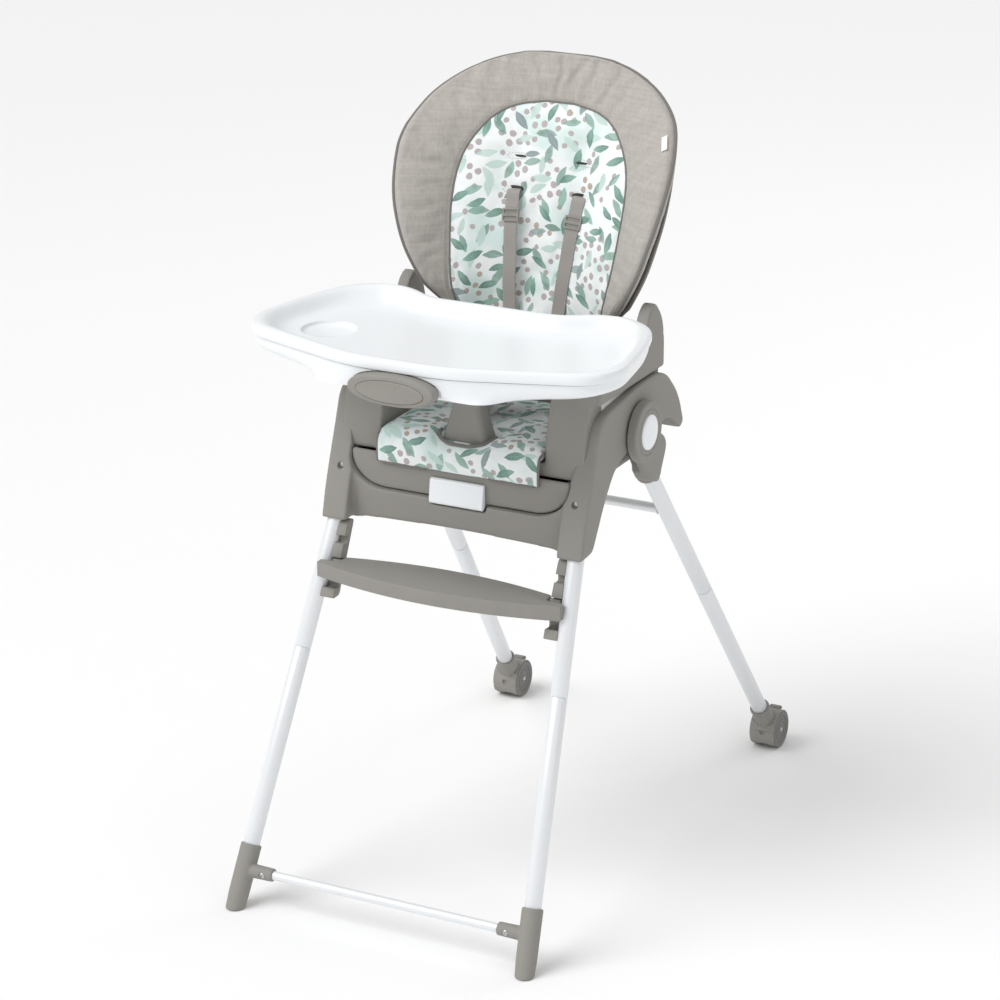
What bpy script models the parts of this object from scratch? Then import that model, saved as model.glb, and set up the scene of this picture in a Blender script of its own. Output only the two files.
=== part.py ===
"""A folding baby high chair: a tube frame with moulded side housings, a lift-out seat, a reclining back,
a sliding tray, a clip-in footrest and braked casters on the rear legs.

Metres, +Z up. The child faces -Y. The origin is on the floor under the middle of the chair.
Pieces that come in pairs are modelled on the +X side and mirrored to the -X side.
"""

import math

import bmesh
import bpy
from mathutils import Matrix, Vector

MIDDLE_Y = 0.0037     # the drawing's middle between the front feet and the brake levers

# Gaps between pieces
GAP = 0.0003          # pieces that touch
RUN = 0.0006          # pieces that slide past each other

# Stance: the right front foot and the right caster's axle
FOOT = Vector((0.2116, -0.4060, 0.0))
FRONT_LEAN = Vector((-0.0783, 0.4556, 1.0))     # travel along the front leg for each metre of height
CASTER = Vector((0.2086, 0.3965, 0.0265))
REAR_LEAN = Vector((-0.0682, -0.7290, 1.0))     # the same for the rear leg
HUB_Y, HUB_Z = -0.0335, 0.6080                  # fold pivot

# Tubes
TUBE_R = 0.0110
TUBE_WALL = 0.0012
NECK_R = 0.0094                                 # swaged end that plugs into the next tube
NECK_LENGTH = 0.036
FRONT_TUBE_FOOT_Z = 0.0620
FRONT_SEAM_Z = 0.3200
FRONT_TUBE_TOP_Z = 0.5480
REAR_TUBE_FOOT_Z = 0.0600
REAR_SEAM_Z = 0.3120
REAR_TUBE_TOP_Z = 0.5620
CROSSBAR_R = 0.0060
FRONT_CROSSBAR_Z = 0.0476
REAR_CROSSBAR_Z = 0.4610

# Front feet
FOOT_R = 0.0138
FOOT_LENGTH = 0.0866
BRANCH_R = 0.0086
BRANCH_END_X = 0.1640

# Side housings
HOUSING_IN_X = 0.1527
HOUSING_OUT_X = 0.1886
FLARE_Z = 0.5500          # above here the housing's inner face leans outward
FLARE = 0.1950            # how far it leans for each metre of height
HOUSING_TOP_Z = 0.6680

# Hubs
HUB_R = 0.0410
HUB_IN_X = 0.1905
HUB_WEB_X = 0.1940
HUB_OUT_X = 0.2040
BUTTON_R = 0.0235
BUTTON_TRAVEL = 0.0040
PIN_R = 0.0050

# Seat
SEAT_FRONT_Y = -0.1655
SEAT_REAR_Y = 0.0600
SEAM_Z = 0.5740           # between the seat's lower and upper mouldings
PAN_BOTTOM_Z = 0.5262
PAN_FRONT_Y = -0.1740
PAN_HALF = 0.1575
SEAT_FLOOR_Z = 0.5920
ARM_IN_X = 0.1180
ARM_TOP_Z = 0.7060
WING_IN_X = 0.1665
WING_OUT_X = 0.1845
PAD_HALF = 0.1160

# Back, measured at the front of its pad
BACK_FOOT_Z = 0.6220
BACK_TOP_Z = 1.0500
BACK_MID_Z = 0.8740
BACK_MID_Y = 0.0880
BACK_LEAN = 0.2126
PAD_THICKNESS = 0.0200
SHELL_THICKNESS = 0.0050
RECLINE_Y, RECLINE_Z = 0.0560, 0.6120

# Tray
TRAY_HALF = 0.2620
TRAY_BOTTOM_Z = 0.7300
TRAY_SPLIT_Z = 0.7460
TRAY_TOP_Z = 0.7610
HANDLE_Z = 0.7260

# Footrest
FOOTREST_TOP_Z = 0.4335
FOOTREST_THICKNESS = 0.0200
FOOTREST_PEG_Z = 0.4280
SLOT_PITCH = 0.0270

# Casters
WHEEL_R = 0.0265
HOOD_R = 0.0286
HOOD_HALF = 0.0188
WHEEL_FACE = 0.0205
WEB_HALF = 0.0046
AXLE_R = 0.0030
BRAKE_PIVOT = Vector((0, 0.0165, 0.0247))

ROUND = 20                # sides of small round pieces
BIG_ROUND = 32            # sides of hubs and wheels

YZ = Matrix(((0, 0, 1, 0), (1, 0, 0, 0), (0, 1, 0, 0), (0, 0, 0, 1)))     # flat outlines seen from +X
XZ = Matrix(((1, 0, 0, 0), (0, 0, -1, 0), (0, 1, 0, 0), (0, 0, 0, 1)))    # flat outlines seen from -Y


# ---------------------------------------------------------------------------------------------- tools

def clear_scene():
    for obj in list(bpy.data.objects):
        bpy.data.objects.remove(obj)
    for name in ("baby_high_chair", "cutters"):
        collection = bpy.data.collections.new(name)
        bpy.context.scene.collection.children.link(collection)
    bpy.data.collections["cutters"].hide_render = True


def finish(name, colour, roughness, metallic=0.0):
    material = bpy.data.materials.new(name)
    material.use_nodes = True
    shader = material.node_tree.nodes["Principled BSDF"]
    shader.inputs["Base Color"].default_value = (*colour, 1.0)
    shader.inputs["Roughness"].default_value = roughness
    shader.inputs["Metallic"].default_value = metallic
    return material


def add(name, mesh, material=None):
    """Links a new object; without a material it is a cutter."""
    obj = bpy.data.objects.new(name, mesh)
    if material:
        obj.data.materials.append(material)
        bpy.data.collections["baby_high_chair"].objects.link(obj)
    else:
        obj.hide_render = True
        obj.display_type = "WIRE"
        bpy.data.collections["cutters"].objects.link(obj)
    return obj


def mesh_of(bm, name):
    mesh = bpy.data.meshes.new(name)
    bm.to_mesh(mesh)
    bm.free()
    mesh.shade_smooth()
    mesh.set_sharp_from_angle(angle=math.radians(35))
    return mesh


def box(name, low, high, material=None, taper=1.0):
    """A block between two corners; taper scales its top face about the block's middle."""
    low, high = Vector(low), Vector(high)
    bm = bmesh.new()
    bmesh.ops.create_cube(bm, size=1.0)
    for vert in bm.verts:
        if vert.co.z > 0:
            vert.co.x *= taper
            vert.co.y *= taper
    bmesh.ops.scale(bm, vec=high - low, verts=bm.verts)
    bmesh.ops.translate(bm, vec=(low + high) / 2, verts=bm.verts)
    return add(name, mesh_of(bm, name), material)


def along(start, end):
    """A frame at start whose Z axis runs to end."""
    direction = (Vector(end) - Vector(start)).normalized()
    return Matrix.Translation(start) @ direction.to_track_quat("Z", "Y").to_matrix().to_4x4()


def rod(name, start, end, radius, material=None, sides=ROUND, end_radius=None):
    length = (Vector(end) - Vector(start)).length
    bm = bmesh.new()
    bmesh.ops.create_cone(bm, cap_ends=True, segments=sides, radius1=radius,
                          radius2=end_radius or radius, depth=length,
                          matrix=along(start, end) @ Matrix.Translation((0, 0, length / 2)))
    return add(name, mesh_of(bm, name), material)


def turned(name, profile, place, material=None, sides=ROUND):
    """Turns a profile of (radius, height) points about the Z axis of the frame called place.

    The profile runs down the outer side. One that starts and ends on the axis is left open;
    any other is a ring, and is closed.
    """
    bm = bmesh.new()
    points = [bm.verts.new((radius, 0, height)) for radius, height in profile]
    for first, second in zip(points, points[1:]):
        bm.edges.new((first, second))
    if profile[0][0] > 0:
        bm.edges.new((points[-1], points[0]))
    mesh = bpy.data.meshes.new(name)
    bm.to_mesh(mesh)
    bm.free()
    obj = add(name, mesh, material)
    obj.matrix_world = place
    screw = obj.modifiers.new("turn", "SCREW")
    screw.steps = screw.render_steps = sides
    screw.use_merge_vertices = True
    screw.merge_threshold = 0.00001
    return obj


def pipe(name, start, end, radius, wall, material, sides=ROUND):
    length = (Vector(end) - Vector(start)).length
    inner = radius - wall
    profile = [(radius, length), (radius, 0), (inner, 0), (inner, length)]
    return turned(name, profile, along(start, end), material, sides)


def rounded(points, radius, steps=4):
    """Replaces each corner of a closed outline by an arc; a point may carry its own radius."""
    result = []
    count = len(points)
    for index in range(count):
        here = Vector(points[index][:2])
        before, after = Vector(points[index - 1][:2]), Vector(points[(index + 1) % count][:2])
        size = points[index][2] if len(points[index]) > 2 else radius
        back, ahead = (before - here), (after - here)
        reach = min(size, 0.45 * back.length, 0.45 * ahead.length)
        if reach < 0.0004:
            result.append(tuple(here))
            continue
        start, end = here + back.normalized() * reach, here + ahead.normalized() * reach
        for step in range(steps + 1):
            t = step / steps
            result.append(tuple(start * (1 - t) ** 2 + here * 2 * t * (1 - t) + end * t ** 2))
    return result


def oval(half_width, half_height, centre, sides=BIG_ROUND, power=1.0):
    """An ellipse; a power under 1 squares it off."""
    points = []
    for step in range(sides):
        angle = 2 * math.pi * step / sides
        cosine, sine = math.cos(angle), math.sin(angle)
        points.append((centre[0] + half_width * math.copysign(abs(cosine) ** power, cosine),
                       centre[1] + half_height * math.copysign(abs(sine) ** power, sine)))
    return points


def slab(name, outline, low, high, place, material=None, bevel=0.0, segments=2):
    """A flat outline given thickness between low and high along the Z axis of the frame called place."""
    curve = bpy.data.curves.new(name, "CURVE")
    curve.dimensions = "2D"
    curve.fill_mode = "BOTH"
    curve.extrude = (high - low) / 2
    spline = curve.splines.new("POLY")
    spline.points.add(len(outline) - 1)
    for point, (u, v) in zip(spline.points, outline):
        point.co = (u, v, 0, 1)
    spline.use_cyclic_u = True
    source = bpy.data.objects.new(name + "_curve", curve)
    bpy.context.scene.collection.objects.link(source)
    bpy.context.view_layer.update()
    evaluated = source.evaluated_get(bpy.context.evaluated_depsgraph_get())
    mesh = bpy.data.meshes.new_from_object(evaluated)
    bpy.data.objects.remove(source)
    bm = bmesh.new()
    bm.from_mesh(mesh)
    bpy.data.meshes.remove(mesh)
    bmesh.ops.remove_doubles(bm, verts=bm.verts, dist=0.00001)
    bmesh.ops.dissolve_limit(bm, angle_limit=0.001, verts=bm.verts, edges=bm.edges)
    bmesh.ops.translate(bm, vec=(0, 0, (low + high) / 2), verts=bm.verts)
    bmesh.ops.transform(bm, matrix=place, verts=bm.verts)
    bmesh.ops.recalc_face_normals(bm, faces=bm.faces)
    obj = add(name, mesh_of(bm, name), material)
    if bevel:
        soften(obj, bevel, segments)
    return obj


def soften(obj, width, segments=2):
    bevel = obj.modifiers.new("round", "BEVEL")
    bevel.width = width
    bevel.segments = segments
    bevel.limit_method = "ANGLE"
    bevel.angle_limit = math.radians(40)


def boolean(obj, other, operation):
    modifier = obj.modifiers.new(other.name, "BOOLEAN")
    modifier.operation = operation
    modifier.object = other


def cut(obj, *others):
    for other in others:
        boolean(obj, other, "DIFFERENCE")


def join(obj, *others):
    for other in others:
        boolean(obj, other, "UNION")


def mirrored(obj):
    """The -X twin of a finished +X piece."""
    bpy.context.view_layer.update()
    evaluated = obj.evaluated_get(bpy.context.evaluated_depsgraph_get())
    bm = bmesh.new()
    bm.from_mesh(evaluated.to_mesh())
    bmesh.ops.transform(bm, matrix=Matrix.Diagonal((-1, 1, 1, 1)) @ obj.matrix_world, verts=bm.verts)
    bmesh.ops.reverse_faces(bm, faces=bm.faces)
    name = obj.name[:-1] + "L"
    mesh = mesh_of(bm, name)
    twin = add(name, mesh, obj.data.materials[0])
    evaluated.to_mesh_clear()
    return twin


def front_leg(z):
    return FOOT + FRONT_LEAN * z


def rear_leg(z):
    return CASTER + REAR_LEAN * (z - CASTER.z)


def smooth_between(stations, value):
    """Reads a smooth curve through (place, size) stations."""
    if value <= stations[0][0]:
        return stations[0][1]
    for index, (low, first) in enumerate(stations[:-1]):
        high, second = stations[index + 1]
        if value <= high:
            before, after = stations[max(index - 1, 0)], stations[min(index + 2, len(stations) - 1)]
            width = high - low
            t = (value - low) / width
            leave = width * (second - before[1]) / (high - before[0])
            arrive = width * (after[1] - first) / (after[0] - low)
            return ((2 * t ** 3 - 3 * t ** 2 + 1) * first + (t ** 3 - 2 * t ** 2 + t) * leave
                    + (3 * t ** 2 - 2 * t ** 3) * second + (t ** 3 - t ** 2) * arrive)
    return stations[-1][1]


# -------------------------------------------------------------------------------------- front frame

def swaged_tube(name, bottom, seam, material):
    """A tube whose top end is drawn down to plug into the next one."""
    length = (seam - bottom).length
    top = length + NECK_LENGTH
    inner = NECK_R - TUBE_WALL
    profile = [(NECK_R, top), (NECK_R, length), (TUBE_R, length - 0.002), (TUBE_R, 0),
               (TUBE_R - TUBE_WALL, 0), (TUBE_R - TUBE_WALL, length - 0.003), (inner, length), (inner, top)]
    return turned(name, profile, along(bottom, seam), material)


def make_front_legs(white):
    swaged_tube("front_leg_lower_R", front_leg(FRONT_TUBE_FOOT_Z), front_leg(FRONT_SEAM_Z), white)
    pipe("front_leg_upper_R", front_leg(FRONT_SEAM_Z + GAP), front_leg(FRONT_TUBE_TOP_Z), TUBE_R,
         TUBE_R - NECK_R - GAP, white)


def make_front_foot(grey, steel):
    profile = [(0, FOOT_LENGTH), (FOOT_R - 0.001, FOOT_LENGTH), (FOOT_R, FOOT_LENGTH - 0.001),
               (FOOT_R - 0.0004, 0.020), (FOOT_R - 0.0018, -0.004), (FOOT_R - 0.005, -0.020), (0, -0.020)]
    foot = turned("front_foot_R", profile, along(FOOT, front_leg(0.5)), grey)
    axis = front_leg(FRONT_CROSSBAR_Z)
    end = Vector((BRANCH_END_X, axis.y, axis.z))
    join(foot, rod("branch", axis, end, BRANCH_R + 0.0008, end_radius=BRANCH_R))
    cut(foot,
        rod("leg_bore", front_leg(FRONT_TUBE_FOOT_Z) - FRONT_LEAN.normalized() * GAP, front_leg(0.2),
            TUBE_R + GAP),
        rod("crossbar_bore", end - Vector((0.02, 0, 0)), Vector((0.1980, end.y, end.z)),
            CROSSBAR_R + GAP),
        rod("screw_seat", (BRANCH_END_X + 0.0136, end.y - BRANCH_R + 0.0006, end.z),
            (BRANCH_END_X + 0.0136, end.y - 0.03, end.z), 0.0045),
        box("floor", (0.1, -0.5, -0.1), (0.3, -0.3, 0.0)))
    screw_head("foot_screw_R", (BRANCH_END_X + 0.0136, end.y - BRANCH_R + 0.0006 - GAP, end.z), steel)


def screw_head(name, seat, steel, radius=0.0038):
    """A low domed head that faces -Y and sits at the point called seat."""
    profile = [(0, 0.0016), (radius * 0.6, 0.0014), (radius, 0.0006), (radius, 0), (0, 0)]
    return turned(name, profile, along(seat, Vector(seat) + Vector((0, -1, 0))), steel, 12)


def make_front_crossbar(white):
    y = front_leg(FRONT_CROSSBAR_Z).y
    pipe("front_crossbar", (-0.1975, y, FRONT_CROSSBAR_Z), (0.1975, y, FRONT_CROSSBAR_Z), CROSSBAR_R,
         0.0010, white, 16)


def housing_outline():
    """The side housing from the side: the leg casing, the top edge, the hook and the arch."""
    return rounded([
        (-0.2030, 0.4815, 0.003), (-0.1660, 0.4835, 0.006), (-0.1300, 0.5420, 0.02),
        (-0.1000, 0.5770, 0.02), (-0.0540, 0.5895, 0.02), (0.0355, 0.5960, 0.012),
        (0.0700, 0.5975, 0.014), (0.1010, 0.5700, 0.008), (0.1130, 0.5780, 0.008),
        (0.0950, 0.6230, 0.03), (0.0560, 0.6600, 0.02), (0.0300, HOUSING_TOP_Z, 0.02),
        (-0.0250, HOUSING_TOP_Z, 0.03), (-0.1284, 0.6570, 0.02), (-0.1500, 0.6420, 0.012),
        (-0.1660, 0.5962, 0.02), (-0.1780, 0.5643, 0.02), (-0.1930, 0.5214, 0.03)], 0.01)


def flare_cutter(name):
    """Everything inboard of the housing's leaning inner face."""
    high = 0.80
    outline = [(0.05, FLARE_Z), (HOUSING_IN_X, FLARE_Z), (HOUSING_IN_X + FLARE * (high - FLARE_Z), high),
               (0.05, high)]
    return slab(name, outline, -0.25, 0.20, XZ)


def make_side_housing(grey, steel):
    housing = slab("side_housing_R", housing_outline(), HOUSING_IN_X, HOUSING_OUT_X, YZ, grey, 0.0045, 3)
    pocket = [(-0.1200, 0.612), (0.0700, 0.618), (0.0450, 0.655), (-0.1150, 0.648)]
    cut(housing,
        flare_cutter("housing_flare"),
        rod("front_leg_bore", front_leg(0.40), front_leg(FRONT_TUBE_TOP_Z + 0.0006), TUBE_R + GAP),
        rod("pin_bore", (0.1, HUB_Y, HUB_Z), (0.25, HUB_Y, HUB_Z), PIN_R + GAP, sides=16),
        rod("housing_screw_seat", (0.1693, -0.1800, 0.5502), (0.1693, -0.2600, 0.5502), 0.0046))
    cut(housing, slab("housing_pocket", rounded(pocket, 0.01), 0.12, HOUSING_OUT_X - 0.0035, YZ))
    join(housing, rod("pin_boss", (HOUSING_OUT_X - 0.004, HUB_Y, HUB_Z), (0.1715, HUB_Y, HUB_Z), 0.0110))
    cut(housing, rod("boss_bore", (0.1, HUB_Y, HUB_Z), (0.25, HUB_Y, HUB_Z), PIN_R + GAP, sides=16))
    screw_head("housing_screw_R", (0.1693, -0.1800 - GAP, 0.5502), steel)


def pan_outline(offset):
    """The front view of the seat's lower moulding, grown by offset; its lower corners are elliptic."""
    half, bottom = PAN_HALF + offset, PAN_BOTTOM_Z - offset
    corner_x, corner_z = 0.050, 0.042
    points = [(-half, SEAM_Z)]
    for step in range(9):
        angle = math.pi / 2 * step / 8
        points.append((-half + corner_x * (1 - math.cos(angle)), bottom + corner_z * (1 - math.sin(angle))))
    points += [(-x, z) for x, z in reversed(points[1:])] + [(half, SEAM_Z)]
    return points


def make_front_apron(grey):
    half = HOUSING_IN_X - GAP
    outline = rounded([(-half, 0.4830, 0.002), (-half + 0.022, 0.4845, 0.02), (0, 0.4890, 0.20),
                       (half - 0.022, 0.4845, 0.02), (half, 0.4830, 0.002), (half, 0.5700, 0.002),
                       (-half, 0.5700, 0.002)], 0.004)
    apron = slab("front_apron", outline, 0.1660, 0.1800, XZ, grey, 0.002)
    cut(apron,
        slab("apron_cradle", pan_outline(RUN), 0.0, 0.30, XZ),
        box("apron_cradle_top", (-0.2, -0.3, SEAM_Z - 0.006), (0.2, 0.1, 0.65)),
        box("apron_tab_notch", (-0.0410, -0.2, 0.5180), (0.0410, -0.1, 0.56)),
        box("apron_back", (-half + 0.008, -0.1765, 0.47), (half - 0.008, -0.1, 0.5150)))


def make_footrest_brackets(grey):
    """A plate on the inner side of each leg, with three forward hooks that hold the footrest's pegs."""
    axis_low, axis_high = front_leg(0.3860), front_leg(0.4790)
    slope = FRONT_LEAN.y
    outline = rounded([
        (axis_low.y - 0.0085, 0.3850, 0.004), (axis_low.y + 0.0100, 0.3850, 0.004),
        (axis_high.y + 0.0110, 0.4790, 0.008), (axis_high.y - 0.0065, 0.4790, 0.006)], 0.004)
    bracket = slab("footrest_bracket_R", outline, 0.1530, 0.1720, YZ, grey, 0.0012, 1)
    cutters = [rod("bracket_saddle", front_leg(0.36), front_leg(0.50), TUBE_R + GAP)]
    for number in range(3):
        z = FOOTREST_PEG_Z + (number - 1) * SLOT_PITCH
        y = FOOT.y + slope * z
        slot = rounded([(y - 0.030, z + 0.0010), (y - 0.030, z + 0.0122), (y - 0.002, z + 0.0062),
                        (y + 0.0035, z + 0.0045), (y + 0.0035, z - 0.0045), (y - 0.004, z - 0.0045)], 0.003)
        cutters.append(slab(f"bracket_slot_{number}", slot, 0.14, 0.18, YZ))
    cut(bracket, *cutters)


def make_footrest(grey):
    half, end_half = 0.1500, 0.1760
    peg_y = FOOT.y + FRONT_LEAN.y * FOOTREST_PEG_Z - 0.0005
    front, end_y = -0.2640, -0.2370
    bow = [(end_half * math.sin(a), front + (end_y - front) * (math.sin(a)) ** 2)
           for a in [math.pi / 2 * step / 8 for step in range(-8, 9)]]
    outline = bow + [(end_half, -0.2265), (half, -0.2245), (half, -0.2060), (-half, -0.2060),
                     (-half, -0.2245), (-end_half, -0.2265)]
    plate = slab("footrest_plate", outline, FOOTREST_TOP_Z - FOOTREST_THICKNESS, FOOTREST_TOP_Z,
                 Matrix.Identity(4), grey, 0.004)
    arm = [(-0.2300, 0.4150), (-0.2300, 0.4335), (peg_y + 0.004, 0.4335), (peg_y + 0.004, 0.4235)]
    for side in (-1, 1):
        join(plate, rod(f"peg_{side}", (side * 0.1440, peg_y, FOOTREST_PEG_Z),
                        (side * 0.1655, peg_y, FOOTREST_PEG_Z), 0.0040, sides=16))
        low, high = sorted((side * 0.1425, side * 0.1500))
        join(plate, slab(f"peg_arm_{side}", rounded(arm, 0.002), low, high, YZ))
    cut(plate, box("footrest_hollow", (-0.140, -0.2450, 0.40), (0.140, -0.2100, 0.4290)))


# --------------------------------------------------------------------------------------- rear frame

def make_hub(grey, white, steel):
    """The disc outside the housing, its flange and the socket that holds the rear leg."""
    centre = Vector((0, HUB_Y, HUB_Z))
    disc = [(0, HUB_OUT_X), (HUB_R - 0.002, HUB_OUT_X), (HUB_R, HUB_OUT_X - 0.002), (HUB_R, HUB_IN_X),
            (0, HUB_IN_X)]
    hub = turned("hub_socket_R", disc, along(centre, centre + Vector((1, 0, 0))), grey, BIG_ROUND)
    flange = rounded([(-0.0640, 0.5900, 0.01), (-0.0190, 0.5350, 0.004), (0.0020, 0.5290, 0.006),
                      (0.0300, 0.5800, 0.02), (-0.0300, 0.6200, 0.01)], 0.01)
    top, bottom = rear_leg(0.5650), rear_leg(0.5270)
    join(hub,
         slab("hub_flange", flange, 0.1780, HUB_OUT_X - 0.0005, YZ, None, 0.0015, 1),
         rod("leg_socket", top, bottom, 0.0146, end_radius=0.0165, sides=24))
    swing = rod("hub_clearance", (0.10, HUB_Y, HUB_Z), (HUB_IN_X, HUB_Y, HUB_Z), 0.0345, sides=BIG_ROUND)
    sweep = [(HUB_Y, HUB_Z)]                    # what the housing needs as the leg folds
    for degrees in (-33, 20, 80, 140, 200, 273):
        angle = math.radians(degrees)
        sweep.append((HUB_Y + 0.15 * math.cos(angle), HUB_Z + 0.15 * math.sin(angle)))
    cut(hub, swing, slab("hub_sweep", sweep, 0.10, HUB_IN_X - 0.0002, YZ),
        rod("button_bore", (HUB_WEB_X, HUB_Y, HUB_Z), (0.25, HUB_Y, HUB_Z), BUTTON_R + GAP, sides=BIG_ROUND),
        rod("hub_pin_bore", (0.1, HUB_Y, HUB_Z), (0.25, HUB_Y, HUB_Z), PIN_R + GAP, sides=16),
        rod("rear_leg_bore", rear_leg(REAR_TUBE_TOP_Z + 0.0004), rear_leg(0.40), TUBE_R + GAP))
    pin = [(0, 0.1968), (0.0095, 0.1964), (0.0100, 0.1943), (PIN_R, 0.1943), (PIN_R, 0.1650), (0, 0.1650)]
    turned("hub_pin_R", pin, along(centre, centre + Vector((1, 0, 0))), steel, 16)
    face = HUB_OUT_X + 0.0030
    button = [(0, face), (BUTTON_R * 0.6, face - 0.0002), (BUTTON_R - 0.001, face - 0.0008),
              (BUTTON_R, face - 0.0018), (BUTTON_R, 0.2012), (0, 0.2012)]
    turned("fold_button_R", button, along(centre, centre + Vector((1, 0, 0))), white, BIG_ROUND)


def make_rear_legs(white):
    swaged_tube("rear_leg_lower_R", rear_leg(REAR_TUBE_FOOT_Z), rear_leg(REAR_SEAM_Z), white)
    pipe("rear_leg_upper_R", rear_leg(REAR_SEAM_Z + GAP), rear_leg(REAR_TUBE_TOP_Z), TUBE_R,
         TUBE_R - NECK_R - GAP, white)
    middle = rear_leg(REAR_CROSSBAR_Z)
    half = middle.x - TUBE_R - 0.0008
    pipe("rear_crossbar", (-half, middle.y, middle.z), (half, middle.y, middle.z), CROSSBAR_R + 0.0005,
         0.0010, white, 16)


def make_caster(grey, dark, steel):
    """A fixed twin-wheel caster: hood, two wheels on one axle and a brake lever."""
    x, y, z = CASTER
    across = along(Vector((0, y, z)), Vector((1, y, z)))
    hood = turned("caster_body_R", [(HOOD_R, x + HOOD_HALF), (HOOD_R, x - HOOD_HALF),
                                    (HOOD_R - 0.0015, x - HOOD_HALF), (HOOD_R - 0.0015, x + HOOD_HALF)],
                  across, grey, BIG_ROUND)
    join(hood,
         rod("caster_web", (x - WEB_HALF, y, z), (x + WEB_HALF, y, z), HOOD_R - 0.0008, sides=BIG_ROUND),
         rod("caster_socket", rear_leg(0.0470), rear_leg(0.0640), 0.0150, end_radius=0.0138, sides=24))
    wheels = rod("wheel_room", (x + WEB_HALF, y, z), (x + 0.05, y, z), HOOD_R - 0.0015, sides=BIG_ROUND)
    inner_wheels = rod("inner_wheel_room", (x - 0.05, y, z), (x - WEB_HALF, y, z), HOOD_R - 0.0015,
                       sides=BIG_ROUND)
    cut(hood, wheels, inner_wheels,
        rod("caster_leg_bore", rear_leg(REAR_TUBE_FOOT_Z - 0.0004), rear_leg(0.2), TUBE_R + GAP),
        rod("axle_bore", (0.1, y, z), (0.3, y, z), AXLE_R + GAP, sides=16),
        box("hood_mouth", (0.15, y - 0.05, -0.03), (0.27, y + 0.05, 0.0100)),
        box("brake_notch", (x - 0.0085, y + 0.0100, z + 0.0120), (x + 0.0085, y + 0.05, z + 0.05)))
    rod("caster_axle_R", (x - WHEEL_FACE + 0.001, y, z), (x + WHEEL_FACE - 0.001, y, z), AXLE_R, steel, 16)
    for label, side in (("outer", 1), ("inner", -1)):
        low, high = sorted((x + side * (WEB_HALF + RUN), x + side * WHEEL_FACE))
        tread = WHEEL_R - 0.0015
        profile = [(AXLE_R + GAP, high), (tread, high), (WHEEL_R, high - 0.0015), (WHEEL_R, low + 0.0015),
                   (tread, low), (AXLE_R + GAP, low)]
        turned(f"caster_wheel_{label}_R", profile, across, dark, BIG_ROUND)
    lever = rounded([(y + 0.0150, z + 0.0232, 0.001), (y + 0.0150, z + 0.0262, 0.002),
                     (y + 0.0250, z + 0.0262, 0.003), (y + 0.0300, z + 0.0222, 0.002),
                     (y + 0.0290, z + 0.0195, 0.001), (y + 0.0215, z + 0.0195, 0.001)], 0.001)
    slab("brake_lever_R", lever, x - 0.0078, x + 0.0078, YZ, dark, 0.0006, 1)


# --------------------------------------------------------------------------------------------- seat

def make_seat_pan(grey):
    """The lower moulding, an open tub that rests between the side housings."""
    pan = slab("seat_pan", pan_outline(0.0), -SEAT_REAR_Y, -PAN_FRONT_Y, XZ, grey, 0.004, 2)
    room = [(u * 0.975, v + 0.0035) for u, v in pan_outline(-0.0035)]
    cut(pan,
        slab("pan_room", room, -SEAT_REAR_Y + 0.0035, -PAN_FRONT_Y - 0.0035, XZ),
        flare_side("pan_flare_R", 1, RUN), flare_side("pan_flare_L", -1, RUN),
        box("pan_top", (-0.2, -0.3, SEAM_Z - GAP - 0.0001), (0.2, 0.2, 0.65)))


def flare_side(name, side, gap):
    """Everything outboard of the housing's inner face less a gap, on one side."""
    low, high = 0.50, HOUSING_TOP_Z + 0.0015
    outline = [(HOUSING_IN_X - gap, low), (0.30, low), (0.30, high),
               (HOUSING_IN_X - gap + FLARE * (high - FLARE_Z), high), (HOUSING_IN_X - gap, FLARE_Z)]
    outline = [(side * x, z) for x, z in outline]
    if side < 0:
        outline.reverse()
    return slab(name, outline, -0.25, 0.30, XZ)


def arm_outline():
    """The arm block from the side."""
    return rounded([(SEAT_FRONT_Y, SEAM_Z, 0.001), (SEAT_REAR_Y, SEAM_Z, 0.001), (SEAT_REAR_Y, 0.6900, 0.01),
                    (SEAT_REAR_Y - 0.0220, ARM_TOP_Z, 0.01), (-0.1380, ARM_TOP_Z, 0.012),
                    (-0.1560, 0.6600, 0.02), (SEAT_FRONT_Y, 0.6150, 0.02)], 0.01)


def wing_outline():
    """The wing that rises outside the back, from the side."""
    low = HOUSING_TOP_Z + 0.0020
    rear = SEAT_REAR_Y - 0.0050
    return rounded([(-0.1440, low, 0.003), (rear, low, 0.004), (rear, 0.7050, 0.03),
                    (rear - 0.006, 0.7400, 0.03), (0.0250, 0.7650, 0.012), (0.0080, 0.7560, 0.010), (-0.0080, 0.7300, 0.02),
                    (-0.0400, 0.7130, 0.03), (-0.1320, ARM_TOP_Z - 0.001, 0.012)], 0.01)


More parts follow.
